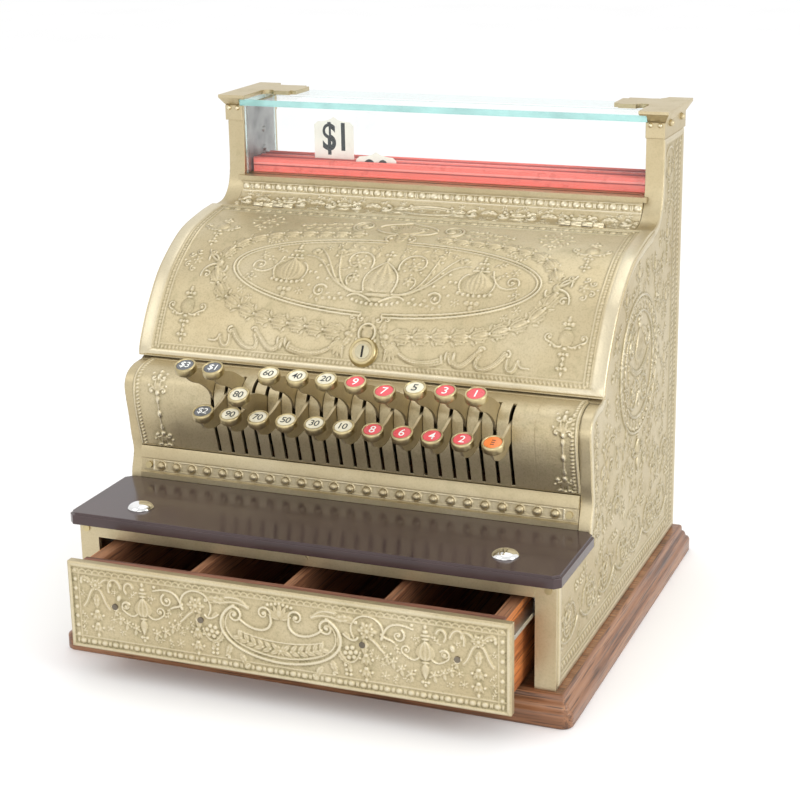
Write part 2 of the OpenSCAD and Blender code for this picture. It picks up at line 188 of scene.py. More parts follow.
class Relief:
    """Raised ornament, as heights in millimetres over a grid of panel coordinates."""

    def __init__(self, x0, x1, y0, y1, step):
        self.x = np.linspace(x0, x1, int(round((x1 - x0) / step)) + 1)
        self.y = np.linspace(y0, y1, int(round((y1 - y0) / step)) + 1)
        self.step = step
        self.h = np.zeros((len(self.y), len(self.x)))
        self.polish_and_highlight = np.zeros_like(self.h)

    def window(self, x, y, reach):
        """The cells within reach of a point, and their coordinates from it."""
        i = np.searchsorted(self.x, [x - reach, x + reach])
        j = np.searchsorted(self.y, [y - reach, y + reach])
        cells = (slice(*j), slice(*i))
        return cells, self.x[None, cells[1]] - x, self.y[cells[0], None] - y

    def lift(self, cells, heights):
        """Raises cells to new heights, where these are higher."""
        self.h[cells] = np.maximum(self.h[cells], heights)

    def dome(self, x, y, rx, ry, h, turn=0.0):
        """A rounded boss on an elliptical foot."""
        cells, u, v = self.window(x, y, max(rx, ry))
        c, s = math.cos(turn), math.sin(turn)
        d = ((u * c + v * s) / rx) ** 2 + ((v * c - u * s) / ry) ** 2
        self.lift(cells, h * np.clip(1 - d, 0, 1) ** 0.6)

    def stroke(self, points, w0, w1, h0, h1, ridges=0):
        """A line with a round top, or with lengthwise ridges."""
        points = np.array(points, float)
        seg = np.linalg.norm(np.diff(points, axis=0), axis=1)
        run = np.concatenate([[0], np.cumsum(seg)]) / max(seg.sum(), 1e-6)
        for a, b, ta, tb, length in zip(points, points[1:], run, run[1:], seg):
            if length < 1e-6:
                continue
            mid = (a + b) / 2
            cells, u, v = self.window(mid[0], mid[1], length / 2 + max(w0, w1))
            d = (b - a) / length
            along = np.clip(u * d[0] + v * d[1], -length / 2, length / 2)
            du, dv = u - along * d[0], v - along * d[1]
            t = ta + (tb - ta) * (along / length + 0.5)
            off = np.hypot(du, dv) / (w0 + (w1 - w0) * t)
            top = np.clip(1 - off ** 2, 0, 1) ** 0.6
            if ridges:
                top = top * (0.7 + 0.3 * np.cos(math.pi * ridges * off))
            self.lift(cells, (h0 + (h1 - h0) * t) * top)

    def line(self, points, w, h):
        """A stroke of even width and height."""
        self.stroke(points, w, w, h, h)

    def leaf(self, x, y, length, width, turn, h, lobes=0, curl=0.0):
        """A veined leaf that grows from (x, y), with a lobed edge if asked."""
        c, s = math.cos(turn), math.sin(turn)
        half = length / 2
        cells, u, v = self.window(x + c * half, y + s * half, half + width / 2 + abs(curl) * length)
        a = (u * c + v * s + half) / length
        inside = np.clip(a, 0, 1)
        b = v * c - u * s - curl * length * inside ** 2
        edge = width / 2 * np.sin(math.pi * inside ** 0.75) ** 0.8 + 1e-6
        if lobes:
            edge = edge * (0.66 + 0.34 * np.abs(np.cos(math.pi * lobes * inside)))
        q = np.abs(b) / edge
        top = np.clip(1 - q ** 2, 0, 1) ** 0.55 * ((a > 0) & (a < 1))
        vein = 1 - 0.45 * np.exp(-((b / (0.1 * width + 0.2)) ** 2))
        if lobes:
            vein = vein * (0.86 + 0.14 * np.cos(2 * math.pi * (lobes * inside - 0.6 * q)))
        self.lift(cells, h * (0.55 + 0.45 * np.sin(math.pi * inside)) * top * vein)

    def flower(self, x, y, radius, petals, h):
        """Round petals, highest at their tips, about a button."""
        cells, u, v = self.window(x, y, radius)
        rho = np.hypot(u, v) / radius
        wave = np.cos(petals * np.arctan2(v, u))
        top = np.clip(1 - (rho / (0.8 + 0.2 * wave)) ** 2, 0, 1) ** 0.55
        self.lift(cells, h * top * (0.78 + 0.22 * wave) * (0.55 + 0.45 * rho))
        self.dome(x, y, radius * 0.3, radius * 0.3, h * 1.1)

    def swell(self, x, y, top, bottom, width, h, flutes=0):
        """An upright vase shape: width(t) is its half-width from bottom to top."""
        reach = (top - bottom) / 2
        cells, u, v = self.window(x, y + (top + bottom) / 2, max(reach, width(0.5) * 1.5))
        t = (v + reach) / (2 * reach)
        w = np.maximum(width(np.clip(t, 0, 1)), 1e-3)
        body = np.clip(1 - (u / w) ** 2, 0, 1) ** 0.5 * ((t > 0) & (t < 1))
        if flutes:
            body = body * (0.85 + 0.15 * np.cos(2 * math.pi * flutes * u / w))
        self.lift(cells, h * body)

    def mirror(self):
        """Adds the mirror image about the panel's middle."""
        self.h = np.maximum(self.h, self.h[:, ::-1])
        self.polish_and_highlight = np.maximum(self.polish_and_highlight, self.polish_and_highlight[:, ::-1])

    def finish(self):
        """The heights as cast, their tone, and which cells show.

        The tone is 0.5 on flat ground, less in hollows and more on crests and polished places: painted shade
        and patina below, painted highlight and wear above.
        """
        hidden = self.h < HIDDEN
        h = np.where(hidden, 0, self.h)
        low = np.minimum(h, TONE_TOP)
        nearby = blurred(low, max(int(round(TONE_REACH / self.step)), 1))
        # Height against its surroundings: painted shade in hollows, painted highlight on crests and polished
        # cells.
        tone = np.clip(0.5 + TONE_GAIN * (low - nearby) + self.polish_and_highlight, 0, 1)
        return np.where(hidden, HIDDEN, RELIEF_DEPTH * h), tone, ~hidden


class Brush:
    """Draws motifs on a relief at a place, an angle, a size and a hand: 1, or -1 if mirrored."""

    def __init__(self, relief, x=0.0, y=0.0, turn=0.0, size=1.0, hand=1, rise=1.0):
        self.relief, self.x, self.y, self.turn = relief, x, y, turn
        self.size, self.hand, self.rise = size, hand, rise

    def spot(self, u, v):
        """The brush's own place (u, v) in panel coordinates."""
        u, v = self.hand * u * self.size, v * self.size
        c, s = math.cos(self.turn), math.sin(self.turn)
        return self.x + c * u - s * v, self.y + s * u + c * v

    def angle(self, degrees):
        """The brush's own angle, as radians on the panel."""
        a = math.radians(degrees)
        return self.turn + (a if self.hand > 0 else math.pi - a)

    def at(self, u, v, turn=0, size=1.0, hand=1, rise=1.0):
        """A brush at a place of this one's, turned, sized, mirrored or raised against it."""
        x, y = self.spot(u, v)
        turned = self.turn + self.hand * math.radians(turn)
        return Brush(self.relief, x, y, turned, self.size * size, self.hand * hand, self.rise * rise)

    def dome(self, u, v, ru, rv=None, h=1.1, turn=0):
        rv = ru if rv is None else rv
        x, y = self.spot(u, v)
        self.relief.dome(x, y, ru * self.size, rv * self.size, h * self.rise, self.angle(turn))

    def stroke(self, points, w0, w1=None, h=1.0, h1=None, ridges=0):
        w1 = w0 if w1 is None else w1
        h1 = h if h1 is None else h1
        path = [self.spot(u, v) for u, v in points]
        thin = LINE * self.size
        self.relief.stroke(path, w0 * thin, w1 * thin, h * self.rise, h1 * self.rise, ridges)

    def leaf(self, u, v, length, width, turn, h=1.1, lobes=0, curl=0.0):
        x, y = self.spot(u, v)
        self.relief.leaf(x, y, length * self.size, width * self.size, self.angle(turn),
                         h * self.rise, lobes, curl * self.hand)

    def flower(self, u, v, radius, petals=5, h=1.3):
        x, y = self.spot(u, v)
        self.relief.flower(x, y, radius * self.size, petals, h * self.rise)

    def hands(self):
        """The same brush twice, the second time mirrored."""
        return self, self.at(0, 0, hand=-1)

    def curve(self, start, lead, trail, end, w0, w1=None, h=1.0, h1=None, ridges=0):
        """A stroke along a Bezier curve."""
        self.stroke(bezier(start, lead, trail, end), w0, w1, h, h1, ridges)

    def scroll(self, u, v, radius, start=90, turns=1.4, w=1.2, h=1.2, eye=True):
        """A spiral that thins as it winds in, with a round eye."""
        self.stroke(spiral(u, v, radius, start, turns), w, w * 0.6, h, h * 0.8)
        if eye:
            self.dome(u, v, max(w * 1.25, radius * 0.22), h=h * 1.1)

    def berries(self, u, v, spread, r=1.4, count=3, start=90, h=1.0):
        """Small domes in a ring."""
        for x, y, _ in around(u, v, spread, spread, [start + 360 * k / count for k in range(count)]):
            self.dome(x, y, r, h=h)


# --- Motifs -------------------------------------------------------------


def bead_and_reel(r, start, stop, pitch=10.0, radius=2.6, h=1.2):
    """Long beads with two thin discs between neighbours."""
    start, stop = np.array(start, float), np.array(stop, float)
    length = np.linalg.norm(stop - start)
    along = (stop - start) / length
    turn = math.atan2(along[1], along[0])
    count = max(int(length / pitch), 1)
    for k in range(count):
        p = start + along * (k + 0.5) * length / count
        r.dome(p[0], p[1], radius * 1.15, radius, h, turn)
        for off in (-0.44, 0.44):
            q = p + along * off * pitch
            r.dome(q[0], q[1], 0.75, radius * 0.95, h * 0.8, turn)


def bead_row(r, start, stop, pitch, radius, h=0.9, lean=0.0, length=None):
    """Evenly spaced beads, or slanted bars if a length is given."""
    start, stop = np.array(start, float), np.array(stop, float)
    count = max(int(round(np.linalg.norm(stop - start) / pitch)), 1)
    turn = math.atan2(*(stop - start)[::-1]) + math.pi / 2 + lean
    for k in range(count + 1):
        p = start + (stop - start) * k / count
        r.dome(p[0], p[1], length or radius, radius, h, turn)


def trefoil(b, size=2.4, h=1.2):
    """Three lobes and a stalk, upright."""
    for angle, reach in ((90, 1.15), (180, 1.0), (0, 1.0)):
        a = math.radians(angle)
        b.dome(size * reach * math.cos(a), size * reach * math.sin(a), size * 0.72, size * 0.6, h, angle)
    b.dome(0, 0, size * 0.45, h=h * 1.15)


def pod(b):
    """One husk of a garland, which points along +u, with leaves and berries."""
    b.dome(1, 0, 7.8, 2.7, 2.4)
    b.dome(8.6, 0, 1.3, 1.6, 1.9)
    for side in (1, -1):
        b.leaf(-8, side * 1.4, 16, 4.8, side * 7, 1.7)
        b.leaf(-6, side * 3.2, 11, 3.4, side * 19, 1.2)
        b.leaf(-8, side * 3.6, 6.5, 2.6, side * 58, 1.0)
        b.dome(-3.2, side * 6.2, 1.1, h=1.0)
        b.dome(3.4, side * 4.9, 0.9, h=0.8)


def sprig(b, kind):
    """A small filling motif: a leafy stem, a leafed scroll or a flower with leaves."""
    if kind == 0:
        b.curve((-8, 0), (-3, 3), (3, -2), (8, 1), 0.8, 0.6, 1.0)
        for u, turn in ((-5, 48), (-2, -48), (1, 44), (4, -42), (6, 36)):
            b.leaf(u, 0, 6, 2.8, turn, 1.1)
        b.dome(9, 1, 1.3, h=1.1)
    elif kind == 1:
        b.scroll(0, 0, 4.4, 90, 1.2, 1.0, 1.2)
        for u, v, turn in around(0, 0, 4, 4, range(20, 320, 60)):
            b.leaf(u, v, 5.4, 2.7, turn - 30, 1.0)
    else:
        b.flower(0, 0, 3.8, 5, 1.3)
        for u, v, turn in around(0, 0, 2.5, 2.5, range(30, 390, 60)):
            b.leaf(u, v, 5.6, 2.4, turn, 1.0)


def sprinkle(r, seed, tries, size, x0, x1, y0, y1, room=None):
    """Fills the bare places inside a rectangle with small sprigs, where there is room."""
    draw = random.Random(seed)
    for _ in range(tries):
        x, y = draw.uniform(x0, x1), draw.uniform(y0, y1)
        turn, kind, scale = draw.uniform(0, 2 * math.pi), draw.randrange(3), draw.uniform(0.75, 1.1)
        cells = r.window(x, y, 6.4 * size * scale)[0]
        if r.h[cells].size == 0 or r.h[cells].max() > 0.3:
            continue
        if room is not None and room[cells].min() < 4:
            continue
        sprig(Brush(r, x, y, turn, size * scale, 1, max(size, 1)), kind)


def finial(b):
    """A cross-shaped drop: a ball between two scrolls, buds above and below."""
    b.dome(0, 0, 6.2, 7.4, 1.5)
    for u, v, _ in around(0, 0, 3, 3.4, range(0, 360, 60)):
        b.dome(u, v, 0.8, h=1.7)
    b.dome(0, 8.6, 3.4, 1.2, 1.2)
    trefoil(b.at(0, 12.4), 3.2)
    b.dome(0, 17.4, 1.5, 2.4, 1.1)
    for h in b.hands():
        h.curve((3, -7), (8, -10), (11, -4), (14, -4), 1.0, 0.9, 1.1)
        h.scroll(14.6, 0.4, 4.0, -90, 1.2, 1.1, 1.2)
        h.dome(8.6, -7.4, 1.7, h=1.1)
        h.dome(12.4, -6.8, 1.4, h=1.0)
    b.dome(0, -9, 2.4, 1.6, 1.3)
    trefoil(b.at(0, -14, 180), 3.0)
    b.stroke([(0, -17), (0, -22)], 0.8, 0.7, 0.9)
    trefoil(b.at(0, -26), 3.1)
    b.dome(0, -30.5, 1.5, 2.2, 1.1)


def vase(t):
    """Half-width of an urn's body, from its foot to its neck."""
    return 9.5 * np.clip(np.sin(math.pi * t ** 0.8), 0, 1) ** 0.75 * (1 - 0.25 * t)


def bulb(half, lean):
    """Half-widths of a round body that is widest low down, for Relief.swell."""
    return lambda t: half * np.clip(np.sin(math.pi * t ** lean), 0, 1) ** 0.8


def urn(b):
    """A round-bodied urn on a stem, with a budded finial and scrolled handles."""
    x, y = b.spot(0, 0)
    k = b.size
    b.relief.swell(x, y, 9 * k, -9 * k, lambda t: k * vase(t), 1.7 * b.rise, flutes=2)
    b.dome(0, 10.2, 3.4, 1.3, 1.4)
    b.dome(0, 13.2, 4.6, 1.4, 1.2)
    b.dome(0, 16.6, 2.6, 1.8, 1.3)
    b.dome(0, 21, 1.5, 2.6, 1.1)
    b.dome(0, -10.6, 3.6, 1.4, 1.3)
    b.relief.swell(x, y, -11 * k, -26 * k,
                   lambda t: k * 3.6 * np.sin(math.pi * np.clip(t, 0, 1) ** 1.4) ** 0.8, 1.3 * b.rise)
    trefoil(b.at(0, -28, 180), 2.4)
    for h in b.hands():
        h.curve((5, -6), (9, -12), (15, -9), (19.5, -5), 1.2, 1.0, 1.2)
        h.scroll(16.6, -1.6, 4.6, -50, 1.3, 1.1, 1.2)


def bell_drop(b, count=2, pitch=12):
    """Bell flowers hung one below the other, each with a berry on either side."""
    for k in range(count):
        s = b.at(0, -pitch * k, size=1 - 0.08 * k)
        s.leaf(0, 3, 9, 8.5, -90, 1.5, lobes=2)
        s.dome(0, 2.6, 2.2, 1.7, 1.5)
        for side in (1, -1):
            s.leaf(0, 1, 8, 3.4, -90 + side * 34, 1.1)
            s.dome(side * 5.4, -0.6, 1.4, h=1.1)
    b.dome(0, -pitch * count + 3.5, 1.5, 2.2, 1.1)


def acanthus(b, length=20, width=11, h=1.4, curl=0.25):
    """A lobed leaf that curls over at its tip."""
    b.leaf(0, 0, length, width, 0, h, lobes=4, curl=curl)
    b.scroll(length * 0.98, curl * length * 0.95 - 2.2, 2.4, 100, 0.9, 0.9, h)


def branch(b, radius=10, leaves=4, flower=5, sweep=150):
    """A stem that arches over into a scroll round a flower, with leaves outside it."""
    centre_u = radius * 1.5
    b.curve((0, 0), (radius * 0.1, radius * 0.9), (centre_u - radius * 1.1, radius * 1.35),
            (centre_u, radius), 0.8, 1.1, 1.0, 1.2)
    b.scroll(centre_u, 0, radius, 90, -1.15, 1.15, 1.2, eye=False)
    b.flower(centre_u, 0, radius * 0.5, flower, 1.5)
    reach = radius * 1.02
    angles = [125 - sweep * k / max(leaves - 1, 1) for k in range(leaves)]
    for u, v, a in around(centre_u, 0, reach, reach, angles):
        b.leaf(u, v, radius * 0.75, radius * 0.42, a - 42, 1.1, lobes=2, curl=-0.2)
        b.berries(u, v, 1.3, radius * 0.1 + 0.3, 1, a - 70, 1.1)


def bow(b):
    """A flower with a knotted ribbon: two loops and two loose ends."""
    b.flower(0, 0, 7.6, 6, 1.7)
    b.berries(0, 0, 4.4, 1.2, 6, 30, 1.6)
    for h in b.hands():
        h.curve((5, 2), (10, 9), (18, 8), (15, 1), 2.4, 1.6, 1.2, 1.0, ridges=2)
        h.curve((4, -5), (9, -12), (8, -17), (14, -23), 2.0, 2.6, 1.3, 1.0, ridges=2)
        h.dome(15.6, 2, 1.9, 3.0, 1.2)


def candelabrum(b, tiers=3, pitch=23):
    """An upright stack of buds, collars and side scrolls."""
    for k in range(tiers):
        s = b.at(0, k * pitch)
        s.dome(0, 0, 3.4, 4.2, 1.5)
        s.dome(0, 5.4, 3.8, 1.1, 1.1)
        s.flower(0, 10.4, 3.8, 5, 1.4)
        s.stroke([(0, 14), (0, pitch - 5)], 0.8, 0.8, 0.9)
        s.dome(0, -5.6, 2.2, 1.2, 1.1)
        for h in s.hands():
            h.scroll(6.2, 1.6, 2.9, -120, 1.1, 0.9, 1.1)
            h.leaf(2, 7, 8, 3.4, 38, 1.1, curl=-0.15)
            h.leaf(2, -3, 7.5, 3, -32, 1.0, curl=0.2)
            h.dome(8.4, 9.8, 1.3, h=1.0)
            h.dome(8.8, -6.2, 1.2, h=1.0)
    trefoil(b.at(0, tiers * pitch - 4), 2.8)


def garland(r, points, count, size=1.0, lead=0.5):
    """Pods in a row along a curve, each pointing along it."""
    path = smooth(points)
    at = np.concatenate([[0], np.cumsum(np.linalg.norm(np.diff(path, axis=0), axis=1))])
    for k in range(count):
        s = at[-1] * (k + lead) / count
        x, y = np.interp(s, at, path[:, 0]), np.interp(s, at, path[:, 1])
        ahead = min(s + 1, at[-1])
        turn = math.atan2(np.interp(ahead, at, path[:, 1]) - y, np.interp(ahead, at, path[:, 0]) - x)
        pod(Brush(r, x, y, turn, size))


# --- Ornament of each panel ---------------------------------------------


def lid_frame(r, top):
    """Polished edge, beaded bands and the fillet inside them; the edge and the lower lip get painted
    highlight with their polish.
    """
    r.line([(0, 3), (LID_HALF, 3)], 3.6, 1.1)
    r.line([(206.5, -9), (206.5, top)], 6.8, 1.1)
    for x in (199.2, 193.6):
        r.line([(x, 8), (x, top - 6)], 0.7, 0.8)
    bead_and_reel(r, (196.4, 9), (196.4, 178), 6.2, 1.7, 0.8)
    bead_row(r, (0, 8.8), (194, 8.8), 3.7, 1.2, 0.6, lean=0.45, length=2.2)
    r.line([(0, 11.8), (193, 11.8)], 0.6, 0.6)
    bead_and_reel(r, (-5, 185.5), (195, 185.5), 10.2, 3.2, 1.2)
    r.line([(0, 190.6), (196, 190.6)], 1.0, 0.9)
    r.line([(0, 180), (193, 180)], 0.8, 0.7)
    r.line([(0, top - 1), (LID_HALF, top - 1)], 2.6, 0.9)
    # Painted highlight with polish on the right edge and the lower lip.
    r.polish_and_highlight[:, r.x > 200] = POLISHED_HIGHLIGHT
    r.polish_and_highlight[r.y < 6.8, :] = POLISHED_HIGHLIGHT


def lid_oval(r):
    """The double line round the lid's middle, with scrolled ends."""
    for rx, ry, w, h in ((141.2, 42.2, 1.0, 1.2), (137.8, 39.0, 0.8, 1.0)):
        r.line(arc(0, 94, rx, ry, -86, 86, 130), w, h)
    b = Brush(r)
    b.scroll(7.5, 49.5, 4.2, 60, -0.8, 1.2, 1.3)
    b.scroll(9, 141, 4.6, -70, 0.8, 1.2, 1.3)
    b.curve((10, 136), (16, 139), (15, 146), (7, 148), 1.1, 0.9, 1.2)
    b.leaf(2.5, 52, 9, 4, -75, 1.2, lobes=2)
    for k in range(3):
        b.leaf(0, 136 + 5 * k, 8, 4.5, 60 - 12 * k, 1.1, lobes=2)


def lid_middle(r):
    """Inside the oval: a tulip vase, scrolls, buds and two small urns."""
    b = Brush(r)
    r.swell(0, 90, 17, -15, bulb(16.5, 0.55), 1.5, flutes=2)
    for k in range(5):
        b.dome(2.6 + 2.5 * k, 82 + 1.8 * k * (1 - k * 0.12), 1.0, h=2.0)
        b.dome(1.6 + 1.2 * k, 88 + 3.2 * k * (1 - k * 0.12), 0.9, h=1.9)
    b.curve((0, 108), (10, 100), (20, 92), (13, 76), 1.2, 1.2, 1.5)
    b.dome(0, 111, 2.2, 3.4, 1.4)
    trefoil(b.at(0, 117), 3.2)
    b.dome(0, 72.5, 12, 2.2, 1.4)
    b.dome(0, 68, 7, 2.2, 1.2)
    for k in range(5):
        b.dome(2.4 + 4.6 * k, 63.4 + 0.2 * k * k, 1.8, h=1.2)
    b.curve((4, 66), (12, 72), (22, 74), (26, 69), 1.5, 1.0, 1.2)
    b.scroll(27, 107, 16, 205, -1.05, 1.3, 1.3, eye=False)
    b.flower(26, 105, 6.8, 6, 1.5)
    b.berries(26, 105, 9.6, 1.3, 7, 10, 1.1)
    for u, v, a in around(27, 107, 15.5, 15.5, range(160, -44, -34)):
        b.leaf(u, v, 8.5, 4.6, a - 50, 1.1, lobes=2, curl=-0.2)
    b.flower(25, 88, 5.4, 5, 1.5)
    b.scroll(25, 88, 8.4, -60, 0.75, 1.1, 1.2, eye=False)
    b.leaf(34, 83, 9, 4.5, 20, 1.1, lobes=2)
    b.curve((14, 74), (38, 72), (42, 96), (46, 118), 1.5, 0.8, 1.2, 0.9)
    b.curve((16, 73), (48, 76), (46, 104), (66, 120), 1.5, 0.8, 1.2, 0.9)
    b.curve((34, 79), (56, 90), (54, 110), (76, 110), 1.1, 0.8, 1.1, 0.9)
    for u, v in ((46, 119), (69, 117)):
        b.dome(u, v, 3.0, 2.4, 1.4)
        b.leaf(u - 2, v - 5, 8, 3, 115, 1.0)
        b.leaf(u + 1, v - 5, 7, 3, 60, 1.0)
    for u, v in ((49, 112), (53, 100), (60, 99), (58, 85), (49, 85), (62, 91), (67, 91), (64, 77)):
        b.dome(u, v, 1.7, h=1.1)
    b.scroll(53, 72.5, 7, 150, -1.35, 1.3, 1.3)
    for u, v, a in around(53, 72.5, 6.6, 6.6, range(200, 360, 40)):
        b.leaf(u, v, 5, 3, a - 30, 1.0)
    for u, v in ((31, 67), (37, 66), (42, 66.5), (34, 71)):
        b.dome(u, v, 2.0, 1.6, 1.1, 30)
    small_urn(b.at(86, 92))
    b.leaf(44, 112, 9, 3.6, 150, 1.0, lobes=2)
    b.leaf(57, 104, 9, 3.4, 20, 1.0, lobes=2)
    b.leaf(40, 96, 8, 3.4, 170, 1.0, lobes=2)
    b.curve((97, 106), (100, 92), (108, 84), (121, 90), 1.2, 1.0, 1.1)
    b.scroll(116, 95, 6.6, -20, 1.15, 1.2, 1.3)
    b.leaf(101, 96, 8, 3.5, 60, 1.0)
    b.berries(108, 103, 2.2, 1.2, 3)


def small_urn(b):
    """The urn at each end of the oval, on a row of beads."""
    x, y = b.spot(0, 0)
    b.relief.swell(x, y, 13, -12, bulb(13, 0.75), 1.5, flutes=3)
    b.flower(0, 0, 5.2, 6, 2.0)
    for u in (-4.6, 0, 4.6):
        b.dome(u, 16.5, 1.6, 2.3, 1.3)
    b.stroke([(-7, 13.6), (7, 13.6)], 1.2, 1.2, 1.3)
    trefoil(b.at(0, 22.5), 3.0)
    b.dome(0, 29, 1.5, 2.4, 1.1)
    for k in range(-3, 4):
        b.dome(k * 4.8, -13.2 + 0.22 * k * k, 1.9, h=1.3)
    trefoil(b.at(0, -20.5, 180), 4.2)
    b.dome(0, -25.5, 1.4, 2.0, 1.0)
    for h in b.hands():
        h.curve((10, 9), (18, 4), (17, -6), (11, -12), 1.0, 0.8, 1.1)


def lid_lower(r):
    """Round the lock: an oval boss, fluted leaves, and the ribbon ends beside them."""
    b = Brush(r)
    b.stroke(arc(0, 37, 7.4, 8.4, 0, 360, 40), 1.5, 1.5, 1.4)
    b.dome(0, 37, 5.0, 6.0, 1.8)
    for k, (u, v, _) in enumerate(around(2.5, 36, 11.6, 6.5, range(-60, 165, 45))):
        b.dome(u, v, 1.6, 2.4, 1.2, 20 * k)
    acanthus(b.at(14, 36, 105), 14, 8, 1.4, -0.3)
    acanthus(b.at(15, 34, -75), 13, 7, 1.4, 0.3)
    b.dome(17, 35, 3.6, 2.8, 1.7)
    b.leaf(20, 38, 14, 5.5, 22, 1.3, lobes=2)
    for k in range(5):
        b.leaf(22, 29, 17 - k, 4.6, -100 + 17 * k, 1.4)
    ribbon = bezier((24, 30), (34, 14), (52, 12), (68, 18), 20)
    b.stroke(ribbon, 1.5, 4.4, 1.3, 1.5, ridges=3)
    for k in range(4):
        b.dome(70 + 3.4 * k, 20 + (k % 2) * 3, 1.6, 4.6, 1.5, 15 - 20 * (k % 2))
    b.curve((76, 24), (86, 6), (92, 20), (104, 33), 3.4, 2.4, 1.2, 1.4, ridges=3)
    b.scroll(103, 31, 3.4, 20, 0.9, 1.3, 1.4)
    b.curve((103, 27), (92, 12), (112, 8), (124, 29), 2.0, 3.2, 1.2, 1.4, ridges=3)
    b.scroll(126, 29, 3.6, 90, -1.0, 1.3, 1.4)
    b.curve((127, 25), (124, 12), (134, 12), (135, 22), 2.2, 2.6, 1.2, 1.3, ridges=2)
    b.curve((136, 24), (138, 17), (142, 19), (146, 19), 2.0, 0.8, 1.2, 0.9)


def lid_upper(r):
    """Between the oval and the hinge: a scrolled shield and sprays of leaves."""
    b = Brush(r)
    for k in range(5):
        b.leaf(0, 152, 22 - 1.5 * k, 5, 90 - 17 * k, 1.3)
    b.dome(0, 152, 4.6, 3.6, 1.6)
    b.scroll(41, 163, 13.5, -100, 1.25, 1.9, 1.4)
    b.scroll(41, 163, 10.5, -100, 1.0, 1.1, 1.2, eye=False)
    b.curve((0, 176), (10, 170), (20, 172), (27, 164), 1.6, 1.3, 1.3)
    b.curve((6, 150), (16, 152), (22, 150), (28, 158), 1.4, 1.2, 1.2)
    b.scroll(14, 161, 5, 40, 1.0, 1.2, 1.2)
    for k in range(5):
        acanthus(b.at(54 + 9 * k, 168 - 2.2 * k, -18 + 10 * (k % 2)), 10, 5.4, 1.2, 0.25)
        b.leaf(53 + 9 * k, 160 - 1.4 * k, 9, 4.2, -35, 1.1, lobes=2)
        b.dome(58 + 9 * k, 158 - 1.2 * k, 1.4, h=1.0)
    b.flower(136, 161, 7.5, 6, 1.4)
    for u, v, a in around(136, 161, 9, 8, range(0, 360, 60)):
        b.leaf(u, v, 9, 4, a, 1.1, lobes=2)
    b.berries(136, 161, 13.5, 1.6, 6, 30, 1.1)
    b.berries(136, 145, 3, 1.5, 3, 30, 1.0)


def lid_sides(r):
    """Outside the garland: cross-shaped drops, bows and small flowers."""
    b = Brush(r)
    finial(b.at(173, 47.5))
    finial(b.at(173, 143, size=0.92))
    b.flower(178, 95, 5, 5, 1.4)
    for u, v, a in around(179, 95, 8, 10, (90, 35, -35, -90)):
        b.scroll(u, v, 3.3, a + 140, math.copysign(1.1, a), 1.0, 1.2)
    b.dome(190, 94, 1.3, h=1.0)
    for side in (1, -1):
        h = b.at(157, 93, 90 - 90 * side)
        h.curve((0, 2), (4, 12), (12, 12), (10, 3), 1.6, 1.2, 1.4)
    b.curve((156, 92), (164, 92), (169, 86), (169, 78), 1.7, 1.0, 1.5)
    b.curve((156, 94), (163, 98), (168, 102), (170, 108), 1.7, 1.0, 1.4)
    b.scroll(164, 80, 4, 60, 1.0, 1.1, 1.3)
    b.scroll(166, 105, 4, -60, -1.0, 1.1, 1.3)
    b.dome(155, 93, 3.4, 4.4, 1.9)
    b.dome(155, 93, 1.8, 6.0, 1.6)


def lid_relief():
    """Everything on the lid, drawn on its right half and mirrored."""
    r = Relief(-LID_HALF + 0.9, LID_HALF - 0.9, 0.9, Track(LID_PATH).length - 0.9, 0.8)
    lid_frame(r, r.y[-1])
    lid_oval(r)
    lid_middle(r)
    lid_lower(r)
    lid_upper(r)
    lid_sides(r)
    garland(r, [(24, 35), (60, 38.5), (93, 42), (122, 51), (143, 64), (153, 80), (156, 88)], 9)
    sprinkle(r, 11, 260, 0.62, 8, 128, 60, 128)
    garland(r, [(154, 100), (149, 112), (139, 124), (122, 133), (98, 139.5), (62, 144), (34, 146)], 9, 0.9)
    r.mirror()
    return r


def drawer_frame(r):
    """The drawer front's rolled rim and its four patterned bands."""
    for z, w, h in ((27.6, 2.2, 1.5), (100.0, 2.4, 1.5), (37.0, 0.7, 0.6), (92.6, 0.6, 0.6),
                    (97.6, 0.5, 0.5)):
        r.line([(0, z), (191, z)], w, h)
    r.line([(189.2, 26), (189.2, 102)], 2.2, 1.5)
    r.line([(180.8, 30), (180.8, 98)], 0.6, 0.6)
    bead_and_reel(r, (-5, 32.6), (185, 32.6), 10.0, 2.5, 1.2)
    bead_row(r, (183.8, 38), (183.8, 95), 7.8, 2.0, 1.0)
    for k in range(-1, 31):
        r.line(arc(6.1 * k, 93.4, 3.0, 2.8, 0, 180, 8), 0.6, 0.7)


